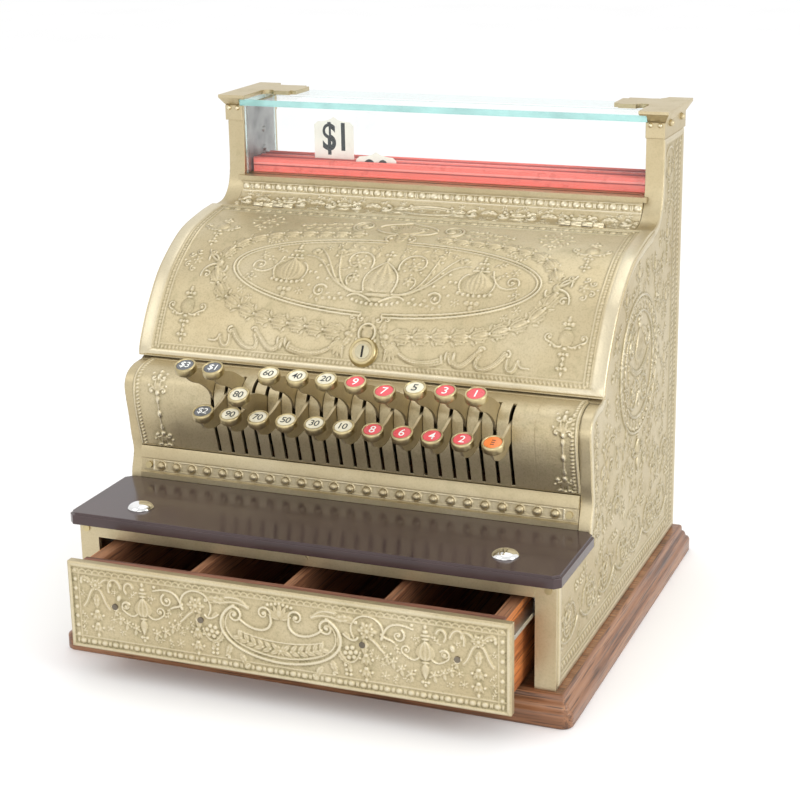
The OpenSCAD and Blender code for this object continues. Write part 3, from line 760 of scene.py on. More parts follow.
def drawer_middle(r):
    """A scrolled shield in the middle of the drawer front, with a band of leaves in it."""
    b = Brush(r)
    outer = bezier((40, 84), (64, 70), (52, 42), (0, 40.5), 26)
    b.stroke(outer, 1.9, 1.5, 1.5, 1.3)
    b.stroke(bezier((42, 80), (56, 66), (46, 46), (0, 44.5), 26), 0.8, 0.8, 1.0)
    b.scroll(40, 76, 7.2, 70, 1.35, 1.6, 1.5)
    b.curve((47, 90), (36, 92), (31, 88), (28, 84), 2.6, 1.4, 1.6, 1.2, ridges=2)
    b.curve((28, 84), (40, 90), (48, 84), (62, 84), 2.6, 1.2, 1.6, 1.0, ridges=2)
    acanthus(b.at(46, 85, 14), 19, 8, 1.5, -0.12)
    b.curve((8, 80), (4, 64), (24, 62), (36, 74), 1.5, 1.3, 1.4)
    b.scroll(14, 81, 6.4, 175, -1.2, 1.4, 1.4)
    b.dome(0, 83, 3.4, 4.2, 1.7)
    for k in range(4):
        b.leaf(0, 78, 14 - k, 4, 88 - 24 * k, 1.4)
        b.dome(3.4 * k, 91.4 - 0.8 * k, 1.5, h=1.2)
    b.stroke(arc(0, 90, 66, 32, -90, -57, 16), 0.8, 0.8, 1.0)
    b.stroke(arc(0, 76, 54, 31, -90, -50, 16), 0.8, 0.8, 1.0)
    for k, (u, v, _) in enumerate(around(0, 83, 60, 32, [-88 + 6.6 * k for k in range(6)])):
        for side in (1, -1):
            b.leaf(u, v, 8.4, 4.2, 8 + 6 * k + side * 38, 1.2)
        b.dome(u, v, 1.3, h=1.2)
    b.flower(0, 51, 5, 6, 1.5)
    for u, v, turn in ((44, 50, -80), (36, 43, -130), (50, 58, -60)):
        acanthus(b.at(u, v, turn), 12, 6.5, 1.3, 0.2)
    b.curve((50, 72), (48, 52), (62, 42), (68, 60), 1.8, 1.2, 1.3, ridges=2)
    b.berries(60, 59, 4.4, 2.1, 6, 10, 1.4)
    b.dome(60, 59, 2.4, h=1.6)
    b.leaf(59, 50, 8, 4, -90, 1.2, lobes=2)
    b.berries(58, 42, 2.6, 1.5, 4, 45, 1.2)
    b.leaf(55, 76, 9, 4, -50, 1.1, lobes=2)


def drawer_side(r):
    """From the shield outwards: a ringed flower, a scroll, an urn with swags, and a bow."""
    b = Brush(r)
    b.stroke(arc(74, 79, 13.5, 12.5, -20, 215, 40), 1.3, 0.9, 1.3, 1.0)
    b.flower(74, 79, 8.4, 6, 1.7)
    b.berries(74, 79, 4.8, 1.3, 6, 30, 1.6)
    b.curve((77, 73), (82, 70), (84, 66), (88, 63), 2.0, 1.4, 1.3, ridges=2)
    b.curve((66, 72), (64, 68), (58, 70), (54, 74), 1.4, 1.0, 1.2)
    b.leaf(72, 72, 14, 7, -92, 1.5, lobes=3)
    bell_drop(b.at(73, 56), 2, 11)
    b.curve((86, 74), (90, 90), (100, 90), (112, 86), 1.5, 1.0, 1.4, 1.0)
    b.scroll(100, 79, 5.8, 60, -1.2, 1.2, 1.3)
    b.curve((86, 78), (90, 74), (92, 76), (96, 73), 1.6, 1.0, 1.3)
    b.dome(111, 89.5, 1.5, h=1.2)
    urn(b.at(122, 70, size=0.94))
    b.scroll(138, 69, 4.4, 150, -1.2, 1.1, 1.3)
    for u, v, s in ((90, 60, 0.8), (95, 57, 1.0), (102, 52, 1.0), (110, 49, 1.1), (129, 51, 1.1),
                    (137, 54, 1.0), (143, 57, 0.9), (147, 64, 0.8)):
        b.flower(u, v, 3.6 * s, 5, 1.4)
        b.leaf(u, v - 1, 6 * s, 3, -75, 1.1)
        b.dome(u + 3.4, v + 3, 1.1, h=1.1)
        b.dome(u - 3.2, v - 2.4, 1.0, h=1.0)
    b.curve((131, 86), (134, 94), (142, 86), (137, 80), 2.2, 1.4, 1.3, ridges=2)
    b.curve((142, 84), (146, 96), (156, 90), (153, 79), 2.4, 1.6, 1.3, ridges=2)
    b.dome(144, 75, 2.2, 3.2, 1.3, 20)
    bow(b.at(165, 84, size=0.86))
    b.leaf(165, 76, 13, 7, -90, 1.4, lobes=3)
    bell_drop(b.at(165, 58), 2, 11)
    for k in range(3):
        b.dome(172 + 3 * k, 86 + k, 1.8, 1.4, 1.2)


def drawer_relief():
    """Everything on the drawer's front, mirrored about its middle."""
    r = Relief(-190.4, 190.4, 26.6, 101.4, 0.7)
    drawer_frame(r)
    drawer_middle(r)
    drawer_side(r)
    sprinkle(r, 3, 500, 0.52, 60, 178, 42, 90)
    r.mirror()
    return r


def outline_distance(xs, ys, outline):
    """How far each grid point lies inside a closed outline; negative outside it."""
    px, py = np.meshgrid(xs, ys)
    best = np.full(px.shape, 1e9)
    inside = np.zeros(px.shape, bool)
    for a, b in zip(outline, np.roll(outline, -1, axis=0)):
        d = b - a
        n = max(float(d @ d), 1e-12)
        t = np.clip(((px - a[0]) * d[0] + (py - a[1]) * d[1]) / n, 0, 1)
        best = np.minimum(best, (px - a[0] - t * d[0]) ** 2 + (py - a[1] - t * d[1]) ** 2)
        crosses = (a[1] > py) != (b[1] > py)
        inside ^= crosses & (px < d[0] * (py - a[1]) / (d[1] if d[1] else 1e-9) + a[0])
    return np.sqrt(best) * np.where(inside, 1, -1)


def side_outline():
    """The side frame's outline, from the base over the lid's seat to the rear."""
    seat = beside(LID_PATH, 3.6)
    flat = [(188.7, BASE_Z), (-185.7, BASE_Z), (-185.7, 115.3)]
    return np.vstack([flat, SHOULDER_PATH, seat, NECK_EDGE, [(116, CAP_Z), (188.7, CAP_Z)]])


def side_borders(r, inside):
    """The plain rolled rim, the leaning band at the foot and the rope bands at the rear."""
    rim = 1.1 * np.clip(1 - ((inside - 3.4) / 3.6) ** 2, 0, 1) ** 0.4
    r.h = np.maximum(r.h, rim)
    r.line([(-186, 46.5), (156, 46.5)], 0.8, 0.9)
    r.line([(-186, 34.5), (178, 34.5)], 0.8, 0.9)
    bead_row(r, (-182, 40.5), (154, 40.5), 6.4, 2.1, 1.2, lean=0.6, length=4.9)
    for y in (157.5, 169.3, 180.5):
        r.line([(y, 34), (y, 398)], 0.9, 1.0)
    bead_row(r, (163.4, 38), (163.4, 398), 5.4, 1.9, 1.1, lean=0.5, length=4.2)
    bead_row(r, (175, 38), (175, 398), 4.6, 1.9, 1.1)
    r.line(arc(139, 376, 18.5, 22, 0, 180, 30), 1.0, 1.1)
    r.line([(120.5, 344), (120.5, 376)], 1.0, 1.1)


def side_wheel(r):
    """The big round wreath in the middle, with swags hung in it."""
    b = Brush(r, 45, 226, rise=1.45)
    for rad, w in ((60, 1.3), (46.5, 1.0)):
        b.stroke(arc(0, 0, rad, rad, 0, 360, 120), w, w, 1.2)
    for u, v, a in around(0, 0, 53, 53, range(0, 360, 12)):
        b.leaf(u, v, 11, 5.4, a + 62, 1.3, lobes=2)
        b.dome(u * 1.06, v * 1.06, 1.6, h=1.2)
        b.dome(u * 0.93, v * 0.93, 1.2, h=1.1)
    b.dome(0, 36, 4.4, 3.4, 1.6)
    trefoil(b.at(0, 41), 3.6)
    for k in range(7):
        a = 255 + 10 * (k - 3) + 15
        length = 36 - 1.2 * abs(k - 3) ** 1.5
        b.leaf(0, 33, length, 5.2, a, 1.4)
    b.curve((-33, 8), (-12, -12), (12, -12), (33, 8), 3.0, 3.0, 1.4, ridges=3)
    for h in b.hands():
        h.scroll(25, 18, 9, 80, -1.3, 1.4, 1.3)
        acanthus(h.at(8, 30, -20), 20, 8, 1.3, -0.2)
        h.flower(33, 6, 5, 5, 1.5)
        h.leaf(33, 2, 14, 6, -98, 1.3, lobes=3)
        branch(h.at(3, -20, -12), 9, 4, 6)
        h.curve((4, -24), (10, -38), (20, -38), (30, -30), 1.3, 0.9, 1.2)
    b.flower(0, -16, 6.5, 6, 1.6)
    bell_drop(b.at(0, -27), 1)
    urn(b.at(0, -74, size=0.82))


def side_lower(r):
    """Two rows of scrolling branches under the wreath."""
    for k, y in enumerate((-158, -104, -50, 0, 45, 90, 132)):
        hand = 1 if k % 2 else -1
        b = Brush(r, y, 78, 0, 1.02, hand, 1.35)
        branch(b.at(-16, -8), 13, 5, 6)
        branch(b.at(16, 4, 180), 8, 3, 5)
        b.curve((-22, -10), (-10, -24), (10, -24), (22, -14), 1.4, 0.9, 1.2)
        b.leaf(-4, -17, 12, 5, -60, 1.1, lobes=2)
        b.leaf(6, -18, 10, 4.4, -20, 1.1, lobes=2)
        b.berries(-20, 16, 3.2, 1.5, 5, 18, 1.1)
        trefoil(b.at(21, -20, 200), 2.6)
    for k, y in enumerate((-72, -22, 112, 142)):
        b = Brush(r, y, 124, 0, 0.95, 1 if k % 2 else -1, 1.35)
        branch(b.at(-12, -6), 10, 4, 6)
        acanthus(b.at(4, -4, -10), 17, 8, 1.3, 0.25)
        b.berries(-14, -12, 3, 1.5, 4, 0, 1.1)


def side_front(r):
    """Upright ornament ahead of the wreath."""
    candelabrum(Brush(r, -84, 138, 0, 0.78), 4, 24)
    b = Brush(r, -52, 168)
    b.flower(0, 20, 8, 6, 1.6)
    b.berries(0, 20, 12, 1.6, 8, 0, 1.2)
    for h in b.hands():
        acanthus(h.at(2, 2, 70), 18, 8, 1.4, -0.25)
        h.scroll(12, -6, 6.4, 120, -1.2, 1.3, 1.3)
        h.leaf(3, -8, 15, 6, -60, 1.3, lobes=3)
    b.dome(0, 0, 4, 5, 1.6)
    bell_drop(b.at(0, -18), 2, 11)
    bell_drop(b.at(0, 44, 180), 1)
    finial(Brush(r, -28, 262, 40, 0.62))
    for y, z, s in ((2, 292, 0.6), (42, 306, 0.62)):
        finial(Brush(r, y, z, 0, s))
    trefoil(Brush(r, -38, 236, 0.6), 3)
    trefoil(Brush(r, -24, 214, 0.3), 3)


def side_rear(r):
    """A column of drops between the wreath and the rear bands."""
    for z, s in ((377, 0.66), (322, 0.66), (265, 0.62), (207, 0.72), (160, 0.72)):
        finial(Brush(r, 137, z, 0, s))
    finial(Brush(r, 96, 302, 0, 0.62))
    for z in (349, 294, 236, 182):
        trefoil(Brush(r, 137, z), 2.4)
    for z in (208, 168):
        for h in Brush(r, 137, z).hands():
            h.leaf(7, -10, 9, 4, -40, 1.1, 2)


def side_relief():
    """Everything on a side frame, in Y and Z."""
    r = Relief(-186.2, 189.0, BASE_Z - 0.5, CAP_Z + 0.3, 0.9)
    inside = outline_distance(r.x, r.y, side_outline())
    side_borders(r, inside)
    side_wheel(r)
    side_lower(r)
    side_front(r)
    side_rear(r)
    sprinkle(r, 5, 2600, 1.3, -180, 152, 52, 396, inside - 6)
    sprinkle(r, 6, 900, 0.8, -180, 152, 52, 396, inside - 6)
    # The rolled rim gets half the painted highlight and polish.
    r.polish_and_highlight[inside < 6] = POLISHED_HIGHLIGHT / 2
    r.h *= np.clip((inside - 0.4) / 1.2, 0, 1)
    r.h[inside < 0.7] = HIDDEN - 0.1
    return r


def neck_relief(length):
    """Low florals on the curved band, under a row of beads."""
    r = Relief(-193, 193, 0.6, length - 0.4, 0.7)
    # The whole band lighter: painted highlight and polish.
    r.polish_and_highlight[:, :] = 0.14
    b = Brush(r)
    top = length
    r.line([(0, top - 1.2), (193, top - 1.2)], 0.9, 0.8)
    bead_and_reel(r, (-5, top - 5.0), (195, top - 5.0), 10.8, 3.2, 1.7)
    r.line([(0, top - 9.2), (193, top - 9.2)], 0.8, 0.8)
    for half, high, w, h in ((27, 8, 1.0, 1.1), (23, 5.5, 0.7, 0.8)):
        for end in (90, -90):
            b.stroke(arc(0, 14, half, high, 0, end, 20), w, w, h)
    for k in range(6):
        h = b.at(42 + 28 * k, 13.5, hand=1 if k % 2 else -1, size=1.3, rise=1.6)
        h.scroll(0, 0, 5.4, 90, -1.3, 1.3, 1.3)
        h.leaf(5, 2, 13, 5.4, 10, 1.3, lobes=3, curl=-0.15)
        h.leaf(5, -2, 11, 4.8, -22, 1.2, lobes=2, curl=0.15)
        h.berries(17, 4, 2.4, 1.3, 3, 90, 1.1)
        h.leaf(-5, 3, 9, 4.4, 160, 1.2, lobes=2)
    sprinkle(r, 9, 400, 0.5, 4, 188, 3, top - 12)
    for y in (3, 18):
        b.dome(188, y, 2, h=1.2)
    r.mirror()
    return r


def scrolled_drop(b):
    """A small shell over paired scrolls and a pendant, for a narrow upright space."""
    for k in range(5):
        b.leaf(0, 1, 9, 2.8, 90 + 24 * (k - 2), 1.1)
    for h in b.hands():
        h.scroll(5.4, 1.5, 2.8, 150, -1.2, 1.0, 1.2)
        h.scroll(4.4, 13, 2.6, -150, 1.2, 1.0, 1.2)
        h.curve((0.8, 2), (3, 5), (1, 9), (3.4, 11), 0.9, 0.8, 1.0)
        h.dome(8.4, 6, 1.2, h=1.0)
        h.dome(6.6, 17.6, 1.3, h=1.0)
    b.dome(0, 0, 2.4, 3.0, 1.5)
    b.dome(0, 14, 2.0, 3.6, 1.4)
    b.dome(0, 20, 1.6, 2.2, 1.2)
    b.leaf(0, -2, 9, 3.4, -90, 1.2)


def bead_plate_relief(length):
    """A sunk channel with a frame, notched at its ends, and a row of broad beads."""
    r = Relief(-198, 198, 0.4, length - 0.4, 0.7)
    for s in (0.7, length - 0.7):
        r.line([(-187, s), (187, s)], 0.7, 0.4)
    for side in (1, -1):
        r.line([(side * 187.5, 1), (side * 187.5, length - 1)], 0.8, 0.6)
    pitch = 15
    for k in range(-12, 13):
        r.dome(pitch * k, length / 2, 4.2, 4.2, 1.5)
    # Painted highlight and polish over the framed field, stronger on the beads.
    r.polish_and_highlight[:, np.abs(r.x) < 187] = 0.15
    r.polish_and_highlight[r.h > 0.5] = 0.5
    return r


def key_panel_relief(length):
    """A candelabrum of buds at each end of the slotted panel, inside a beaded line."""
    r = Relief(-200.6, 200.6, 0.8, length - 0.6, 0.75)
    for x in (-175.8, 188):
        b = Brush(r, x, 14)
        scrolled_drop(b.at(0, 0, 180))
        scrolled_drop(b.at(0, 40))
        b.stroke([(0, 8), (0, 34)], 0.8, 0.8, 0.9)
        b.dome(0, 20, 2.2, 3.6, 1.3)
    for side in (1, -1):
        bead_row(r, (side * 195.6, 2), (side * 195.6, length - 3), 3.4, 1.2, 0.8, lean=0.5, length=2.0)
        r.line([(side * 198.6, 1), (side * 198.6, length)], 1.0, 0.7)
    r.h[:, (r.x > -160) & (r.x < 164)] = HIDDEN - 0.1
    return r


def back_relief():
    """The rear cover's field: a double line with a wreath, corner sprays and garlands."""
    r = Relief(-176, 176, 43.2, 340, 1.0)
    for inset, w in ((4, 1.2), (9, 0.8)):
        x, z0, z1 = 176 - inset, 43.2 + inset, 340 - inset
        r.line([(0, z0), (x, z0), (x, z1), (0, z1)], w, 1.0)
    bead_row(r, (0, 49.7), (168, 49.7), 6, 1.7, 0.9)
    bead_row(r, (0, 333.5), (168, 333.5), 6, 1.7, 0.9)
    b = Brush(r, 0, 192)
    b.stroke(arc(0, 0, 92, 68, -90, 90, 90), 1.4, 1.4, 1.2)
    b.stroke(arc(0, 0, 87, 63, -90, 90, 90), 0.9, 0.9, 1.0)
    urn(b.at(0, 6, size=1.7))
    branch(b.at(14, -28), 15, 5, 6)
    branch(b.at(20, 10, 20), 12, 4, 6)
    garland(r, [(4, 108), (60, 118), (100, 150), (112, 192), (100, 234), (60, 266), (4, 276)], 22, 0.95, 0.5)
    for z, tilt in ((78, -45), (306, 45)):
        branch(Brush(r, 118, z), 15, 5, 6)
        finial(Brush(r, 100, z, math.radians(tilt), 0.8))
    r.mirror()
    return r


# --- Meshes -------------------------------------------------------------


WELD = 2e-6             # metres within which a CAD mesh's corners are one
FLAT = 0.4              # degrees within which its triangles are one face
SUNK = -0.3             # height of a relief's outermost cells, inside its casting
PROUD = 0.1             # height of a relief's ground above its casting
SLOTS = {part["node"]: part["material_slot"] for part in frame["record"]["subparts"]}


def built(bm, name, *materials):
    """The mesh of finished edits, with its materials."""
    mesh = bpy.data.meshes.new(name)
    bm.to_mesh(mesh)
    bm.free()
    for material in materials:
        mesh.materials.append(material)
    return mesh


def add_object(name, mesh, body, material=None):
    """A piece that rides on a body, with a material if one is given."""
    piece = bpy.data.objects.new(name, mesh)
    bpy.context.scene.collection.objects.link(piece)
    if material:
        mesh.materials.clear()
        mesh.materials.append(material)
    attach(piece, body)
    return piece


def grid_mesh(name, points, keep, flip=False):
    """A smooth sheet over a grid of points in metres, on the cells marked to keep."""
    rows, cols = points.shape[:2]
    index = np.arange(rows * cols).reshape(rows, cols)
    quads = np.stack([index[:-1, :-1], index[:-1, 1:], index[1:, 1:], index[1:, :-1]], -1)[keep]
    if flip:
        quads = quads[:, ::-1]
    used = np.unique(quads)
    renumber = np.zeros(rows * cols, np.int64)
    renumber[used] = np.arange(len(used))
    mesh = bpy.data.meshes.new(name)
    mesh.vertices.add(len(used))
    mesh.vertices.foreach_set("co", points.reshape(-1, 3)[used].astype(np.float32).ravel())
    mesh.loops.add(quads.size)
    mesh.loops.foreach_set("vertex_index", renumber[quads].astype(np.int32).ravel())
    mesh.polygons.add(len(quads))
    mesh.polygons.foreach_set("loop_start", np.arange(0, quads.size, 4, dtype=np.int32))
    mesh.update(calc_edges=True)
    mesh.polygons.foreach_set("use_smooth", np.ones(len(quads), bool))
    return mesh, used


def relief_piece(name, relief, place, body="cabinet", flip=False):
    """A relief laid on its surface as its own piece, with its tone for the metal's patina, painted shade and
    painted highlight.
    """
    h, tone, shown = relief.finish()
    h[[0, -1], :] = SUNK
    h[:, [0, -1]] = SUNK
    keep = shown[:-1, :-1] | shown[1:, :-1] | shown[:-1, 1:] | shown[1:, 1:]
    u, v = np.meshgrid(relief.x, relief.y)
    points = place(u, v, h + PROUD) * MM
    mesh, used = grid_mesh(name, points, keep, flip)
    attribute = mesh.attributes.new("tone", "FLOAT", "POINT")
    attribute.data.foreach_set("value", tone.ravel()[used].astype(np.float32))
    return add_object(name, mesh, body, CAST)


def softened(node, material, width=0.5, segments=2, limit=32):
    """A copy of a CAD node that stands for it, with the edges sharper than a limit rounded."""
    source = frame["nodes"][node]
    mesh = source.data.copy()
    mesh.name = node + "_soft"
    bm = bmesh.new()
    bm.from_mesh(mesh)
    bmesh.ops.remove_doubles(bm, verts=bm.verts, dist=WELD)
    bmesh.ops.dissolve_limit(bm, angle_limit=math.radians(FLAT), verts=bm.verts, edges=bm.edges)
    for face in bm.faces:
        face.smooth = True
    bm.to_mesh(mesh)
    bm.free()
    if "tone" in material:
        mesh.attributes.new("tone", "FLOAT", "POINT").data.foreach_set(
            "value", np.full(len(mesh.vertices), material["tone"]))
    piece = add_object(node + "_soft", mesh, source["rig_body"], material)
    rounding = piece.modifiers.new("rounding", "BEVEL")
    rounding.width = width * MM
    rounding.segments = segments
    rounding.limit_method = "ANGLE"
    rounding.angle_limit = math.radians(limit)
    shading = piece.modifiers.new("shading", "WEIGHTED_NORMAL")
    shading.weight = 60
    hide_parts(node)
    return piece


def lathe(name, profile, place, body, material, segments=40):
    """A turned piece: a profile of (radius, height) in millimetres, put in place by a matrix."""
    bm = bmesh.new()
    rings = []
    for radius, height in profile:
        if radius < 1e-6:
            rings.append([bm.verts.new((0, 0, height * MM))])
            continue
        turn = 2 * math.pi / segments
        rings.append([bm.verts.new((radius * MM * math.cos(k * turn), radius * MM * math.sin(k * turn),
                                    height * MM)) for k in range(segments)])
    for low, high in zip(rings, rings[1:]):
        for k in range(segments):
            n = (k + 1) % segments
            corners = [low[k % len(low)], low[n % len(low)], high[n % len(high)], high[k % len(high)]]
            corners = list(dict.fromkeys(corners))
            if len(corners) > 2:
                bm.faces.new(corners).smooth = True
    bmesh.ops.recalc_face_normals(bm, faces=bm.faces)
    mesh = built(bm, name)
    mesh.transform(place)
    return add_object(name, mesh, body, material)


def block(name, low, high, width, material, body="cabinet", place=Matrix()):
    """A box with rounded edges, between two corners in millimetres."""
    bm = bmesh.new()
    bmesh.ops.create_cube(bm, size=1)
    low, high = Vector(low), Vector(high)
    for v in bm.verts:
        v.co = Vector([(low[n] if v.co[n] < 0 else high[n]) * MM for n in range(3)])
    bmesh.ops.bevel(bm, geom=bm.edges[:], offset=width * MM, segments=2, affect="EDGES", profile=0.5)
    mesh = built(bm, name)
    mesh.transform(place)
    return add_object(name, mesh, body, material)


def lettering(name, text, size, place, body, material, narrow=1.0, rise=None, spacing=1.0,
              bold=0.02):
    """Figures as thin faces, centred on their place; rise(x, y) bends them over a domed face."""
    curve = bpy.data.curves.new(name + "_curve", "FONT")
    curve.body = text
    curve.size = size * MM
    curve.align_x, curve.align_y = "CENTER", "CENTER"
    curve.resolution_u = 4
    curve.offset = size * MM * bold
    curve.space_character = spacing
    source = bpy.data.objects.new(name + "_source", curve)
    bpy.context.scene.collection.objects.link(source)
    bpy.context.view_layer.update()
    mesh = bpy.data.meshes.new_from_object(source)
    bpy.data.objects.remove(source)
    bpy.data.curves.remove(curve)
    co = np.zeros(len(mesh.vertices) * 3)
    mesh.vertices.foreach_get("co", co)
    co = co.reshape(-1, 3)
    co[:, :2] -= (co[:, :2].min(0) + co[:, :2].max(0)) / 2
    co[:, 0] *= narrow
    if rise:
        co[:, 2] = rise(co[:, 0] / MM, co[:, 1] / MM) * MM
    mesh.vertices.foreach_set("co", co.ravel())
    mesh.transform(place)
    mesh.update()
    return add_object(name, mesh, body, material)


def spot(x, y, z):
    """A place in millimetres, as a matrix in metres."""
    return Matrix.Translation(Vector((x, y, z)) * MM)


def turned(degrees, axis):
    """A turn about an axis through the origin."""
    return Matrix.Rotation(math.radians(degrees), 4, axis)


# --- Materials ----------------------------------------------------------


class Paint:
    """A material's nodes, added with short calls."""

    def __init__(self, name):
        self.material = bpy.data.materials.new(name)
        self.material.use_nodes = True
        self.tree = self.material.node_tree
        self.tree.nodes.clear()
        self.out = self.add("ShaderNodeOutputMaterial")
        self.shader = self.add("ShaderNodeBsdfPrincipled")
        self.link(self.shader.outputs[0], self.out.inputs["Surface"])
        self.where = self.add("ShaderNodeTexCoord").outputs["Object"]

    def add(self, kind, **settings):
        node = self.tree.nodes.new(kind)
        for key, value in settings.items():
            setattr(node, key, value)
        return node

    def link(self, source, target):
        self.tree.links.new(source, target)

    def set(self, **values):
        """Constant values of the shader's sockets, named with underscores for spaces."""
        for key, value in values.items():
            self.shader.inputs[key.replace("_", " ")].default_value = value

    def plug(self, node, name, value):
        """A socket linked to another node, or set to a number or a colour."""
        if isinstance(value, bpy.types.NodeSocket):
            self.link(value, node.inputs[name])
        elif value is not None:
            node.inputs[name].default_value = value

    def noise(self, scale, detail=3.0, rough=0.5, stretch=None, distortion=0.0):
        """Cloudy noise over the object's own coordinates, stretched along its axes if asked."""
        node = self.add("ShaderNodeTexNoise")
        node.inputs["Scale"].default_value = scale
        node.inputs["Detail"].default_value = detail
        node.inputs["Roughness"].default_value = rough
        node.inputs["Distortion"].default_value = distortion
        self.link(self.stretched(stretch) if stretch else self.where, node.inputs["Vector"])
        return node.outputs["Fac"]

    def stretched(self, scale):
        node = self.add("ShaderNodeMapping")
        node.inputs["Scale"].default_value = scale
        self.link(self.where, node.inputs["Vector"])
        return node.outputs["Vector"]

    def ramp(self, value, stops):
        """A colour for each value, from (value, colour) stops."""
        node = self.add("ShaderNodeValToRGB")
        ends = node.color_ramp.elements
        while len(ends) < len(stops):
            ends.new(0.5)
        for end, (at, colour) in zip(ends, stops):
            end.position = at
            end.color = colour if len(colour) == 4 else (*colour, 1.0)
        self.link(value, node.inputs["Fac"])
        return node.outputs["Color"]

    def level(self, value, low, high, to_low=0.0, to_high=1.0):
        """A number mapped from one range to another, and held at its ends."""
        node = self.add("ShaderNodeMapRange")
        limits = {"From Min": low, "From Max": high, "To Min": to_low, "To Max": to_high}
        for name, number in limits.items():
            node.inputs[name].default_value = number
        self.link(value, node.inputs["Value"])
        return node.outputs["Result"]

    def axis(self, vector, name):
        """One part of a vector."""
        node = self.add("ShaderNodeSeparateXYZ")
        self.link(vector, node.inputs[0])
        return node.outputs[name]

    def math(self, operation, a, b=None):
        node = self.add("ShaderNodeMath", operation=operation)
        self.plug(node, 0, a)
        self.plug(node, 1, b)
        return node.outputs[0]

    def mix(self, amount, a, b, blend="MIX"):
        node = self.add("ShaderNodeMix", data_type="RGBA", blend_type=blend)
        self.plug(node, 0, amount)
        self.plug(node, 6, a if isinstance(a, bpy.types.NodeSocket) else (*a, 1.0))
        self.plug(node, 7, b if isinstance(b, bpy.types.NodeSocket) else (*b, 1.0))
        return node.outputs[2]

    def blend(self, amount, a, b):
        """Two shaders mixed."""
        node = self.add("ShaderNodeMixShader")
        for socket, source in zip(node.inputs, (amount, a.outputs[0], b.outputs[0])):
            self.link(source, socket)
        return node

    def bump(self, height, strength, distance):
        node = self.add("ShaderNodeBump")
        node.inputs["Strength"].default_value = strength
        node.inputs["Distance"].default_value = distance
        self.link(height, node.inputs["Height"])
        self.link(node.outputs["Normal"], self.shader.inputs["Normal"])

    def colour(self, socket):
        self.link(socket, self.shader.inputs["Base Color"])

    def roughness(self, socket):
        self.link(socket, self.shader.inputs["Roughness"])


DARK = (0.17, 0.135, 0.07)
PATINA = (0.34, 0.305, 0.175)
METAL = (0.53, 0.447, 0.28)
BRIGHT = (0.80, 0.735, 0.57)
VARNISH_AND_LIGHT = (2.1, 1.6, 0.9)       # the drawer's outer sides, against its inside: redder varnish, and brighter as painted light
DUST = (0.36, 0.31, 0.27)


def nickel_brass(name, relief):
    """Aged nickel-plated brass: satin, with patina and painted shade in the hollows, and wear and painted
    highlight on crests and where hands have rubbed.
    """
    m = Paint(name)
    broad = m.noise(16, 3, 0.55)
    patches = m.noise(55, 4, 0.6, distortion=0.6)
    fine = m.noise(620, 3, 0.6)
    base = m.ramp(broad, [(0.3, (0.50, 0.412, 0.25)), (0.5, METAL), (0.72, (0.575, 0.495, 0.33))])
    stain = m.level(patches, 0.56, 0.78)
    colour = m.mix(m.math("MULTIPLY", stain, 0.5 if relief else 0.3), base, PATINA)
    pitted = m.math("MULTIPLY", m.level(fine, 0.52, 0.34), 0.2 if relief else 0.12)
    colour = m.mix(pitted, colour, DARK)
    rough = m.level(patches, 0.3, 0.75, 0.38, 0.50)
    if relief:
        # The relief's tone: painted shade mixed with patina where low, painted highlight mixed with wear
        # where high.
        tone = m.add("ShaderNodeAttribute", attribute_name="tone").outputs["Fac"]
        grime_and_shade = m.level(tone, 0.49, 0.2)
        wear_and_highlight = m.level(tone, 0.57, 0.86)
        grime_and_shade = m.math("MULTIPLY", grime_and_shade, m.level(patches, 0.25, 0.6, 0.4, 0.85))
        colour = m.mix(grime_and_shade, colour, m.ramp(fine, [(0.35, DARK), (0.65, PATINA)]))
        colour = m.mix(m.math("MULTIPLY", wear_and_highlight, 0.6), colour, BRIGHT)
        rough = m.math("SUBTRACT", m.math("ADD", rough, m.math("MULTIPLY", grime_and_shade, 0.25)),
                       m.math("MULTIPLY", wear_and_highlight, 0.14))
    m.colour(colour)
    m.roughness(rough)
    m.set(Metallic=0.9)
    m.bump(fine, 0.5 if relief else 0.3, 0.0004)
    if relief:
        m.material["tone"] = 0.5
    return m.material


def plain_metal(name, colour, rough, streak=(1, 1, 1), vary=0.12):
    """Bare or plated metal with faint streaks and a little wear."""
    m = Paint(name)
    cloud = m.noise(60, 3, 0.5)
    lines = m.noise(700, 2, 0.6, stretch=streak)
    dark = tuple(c * 0.62 for c in colour)
    m.colour(m.ramp(cloud, [(0.25, dark), (0.6, colour)]))
    m.roughness(m.level(lines, 0.3, 0.7, rough - vary / 2, rough + vary / 2))
    m.set(Metallic=1.0)
    m.bump(lines, 0.1, 0.0001)
    return m.material


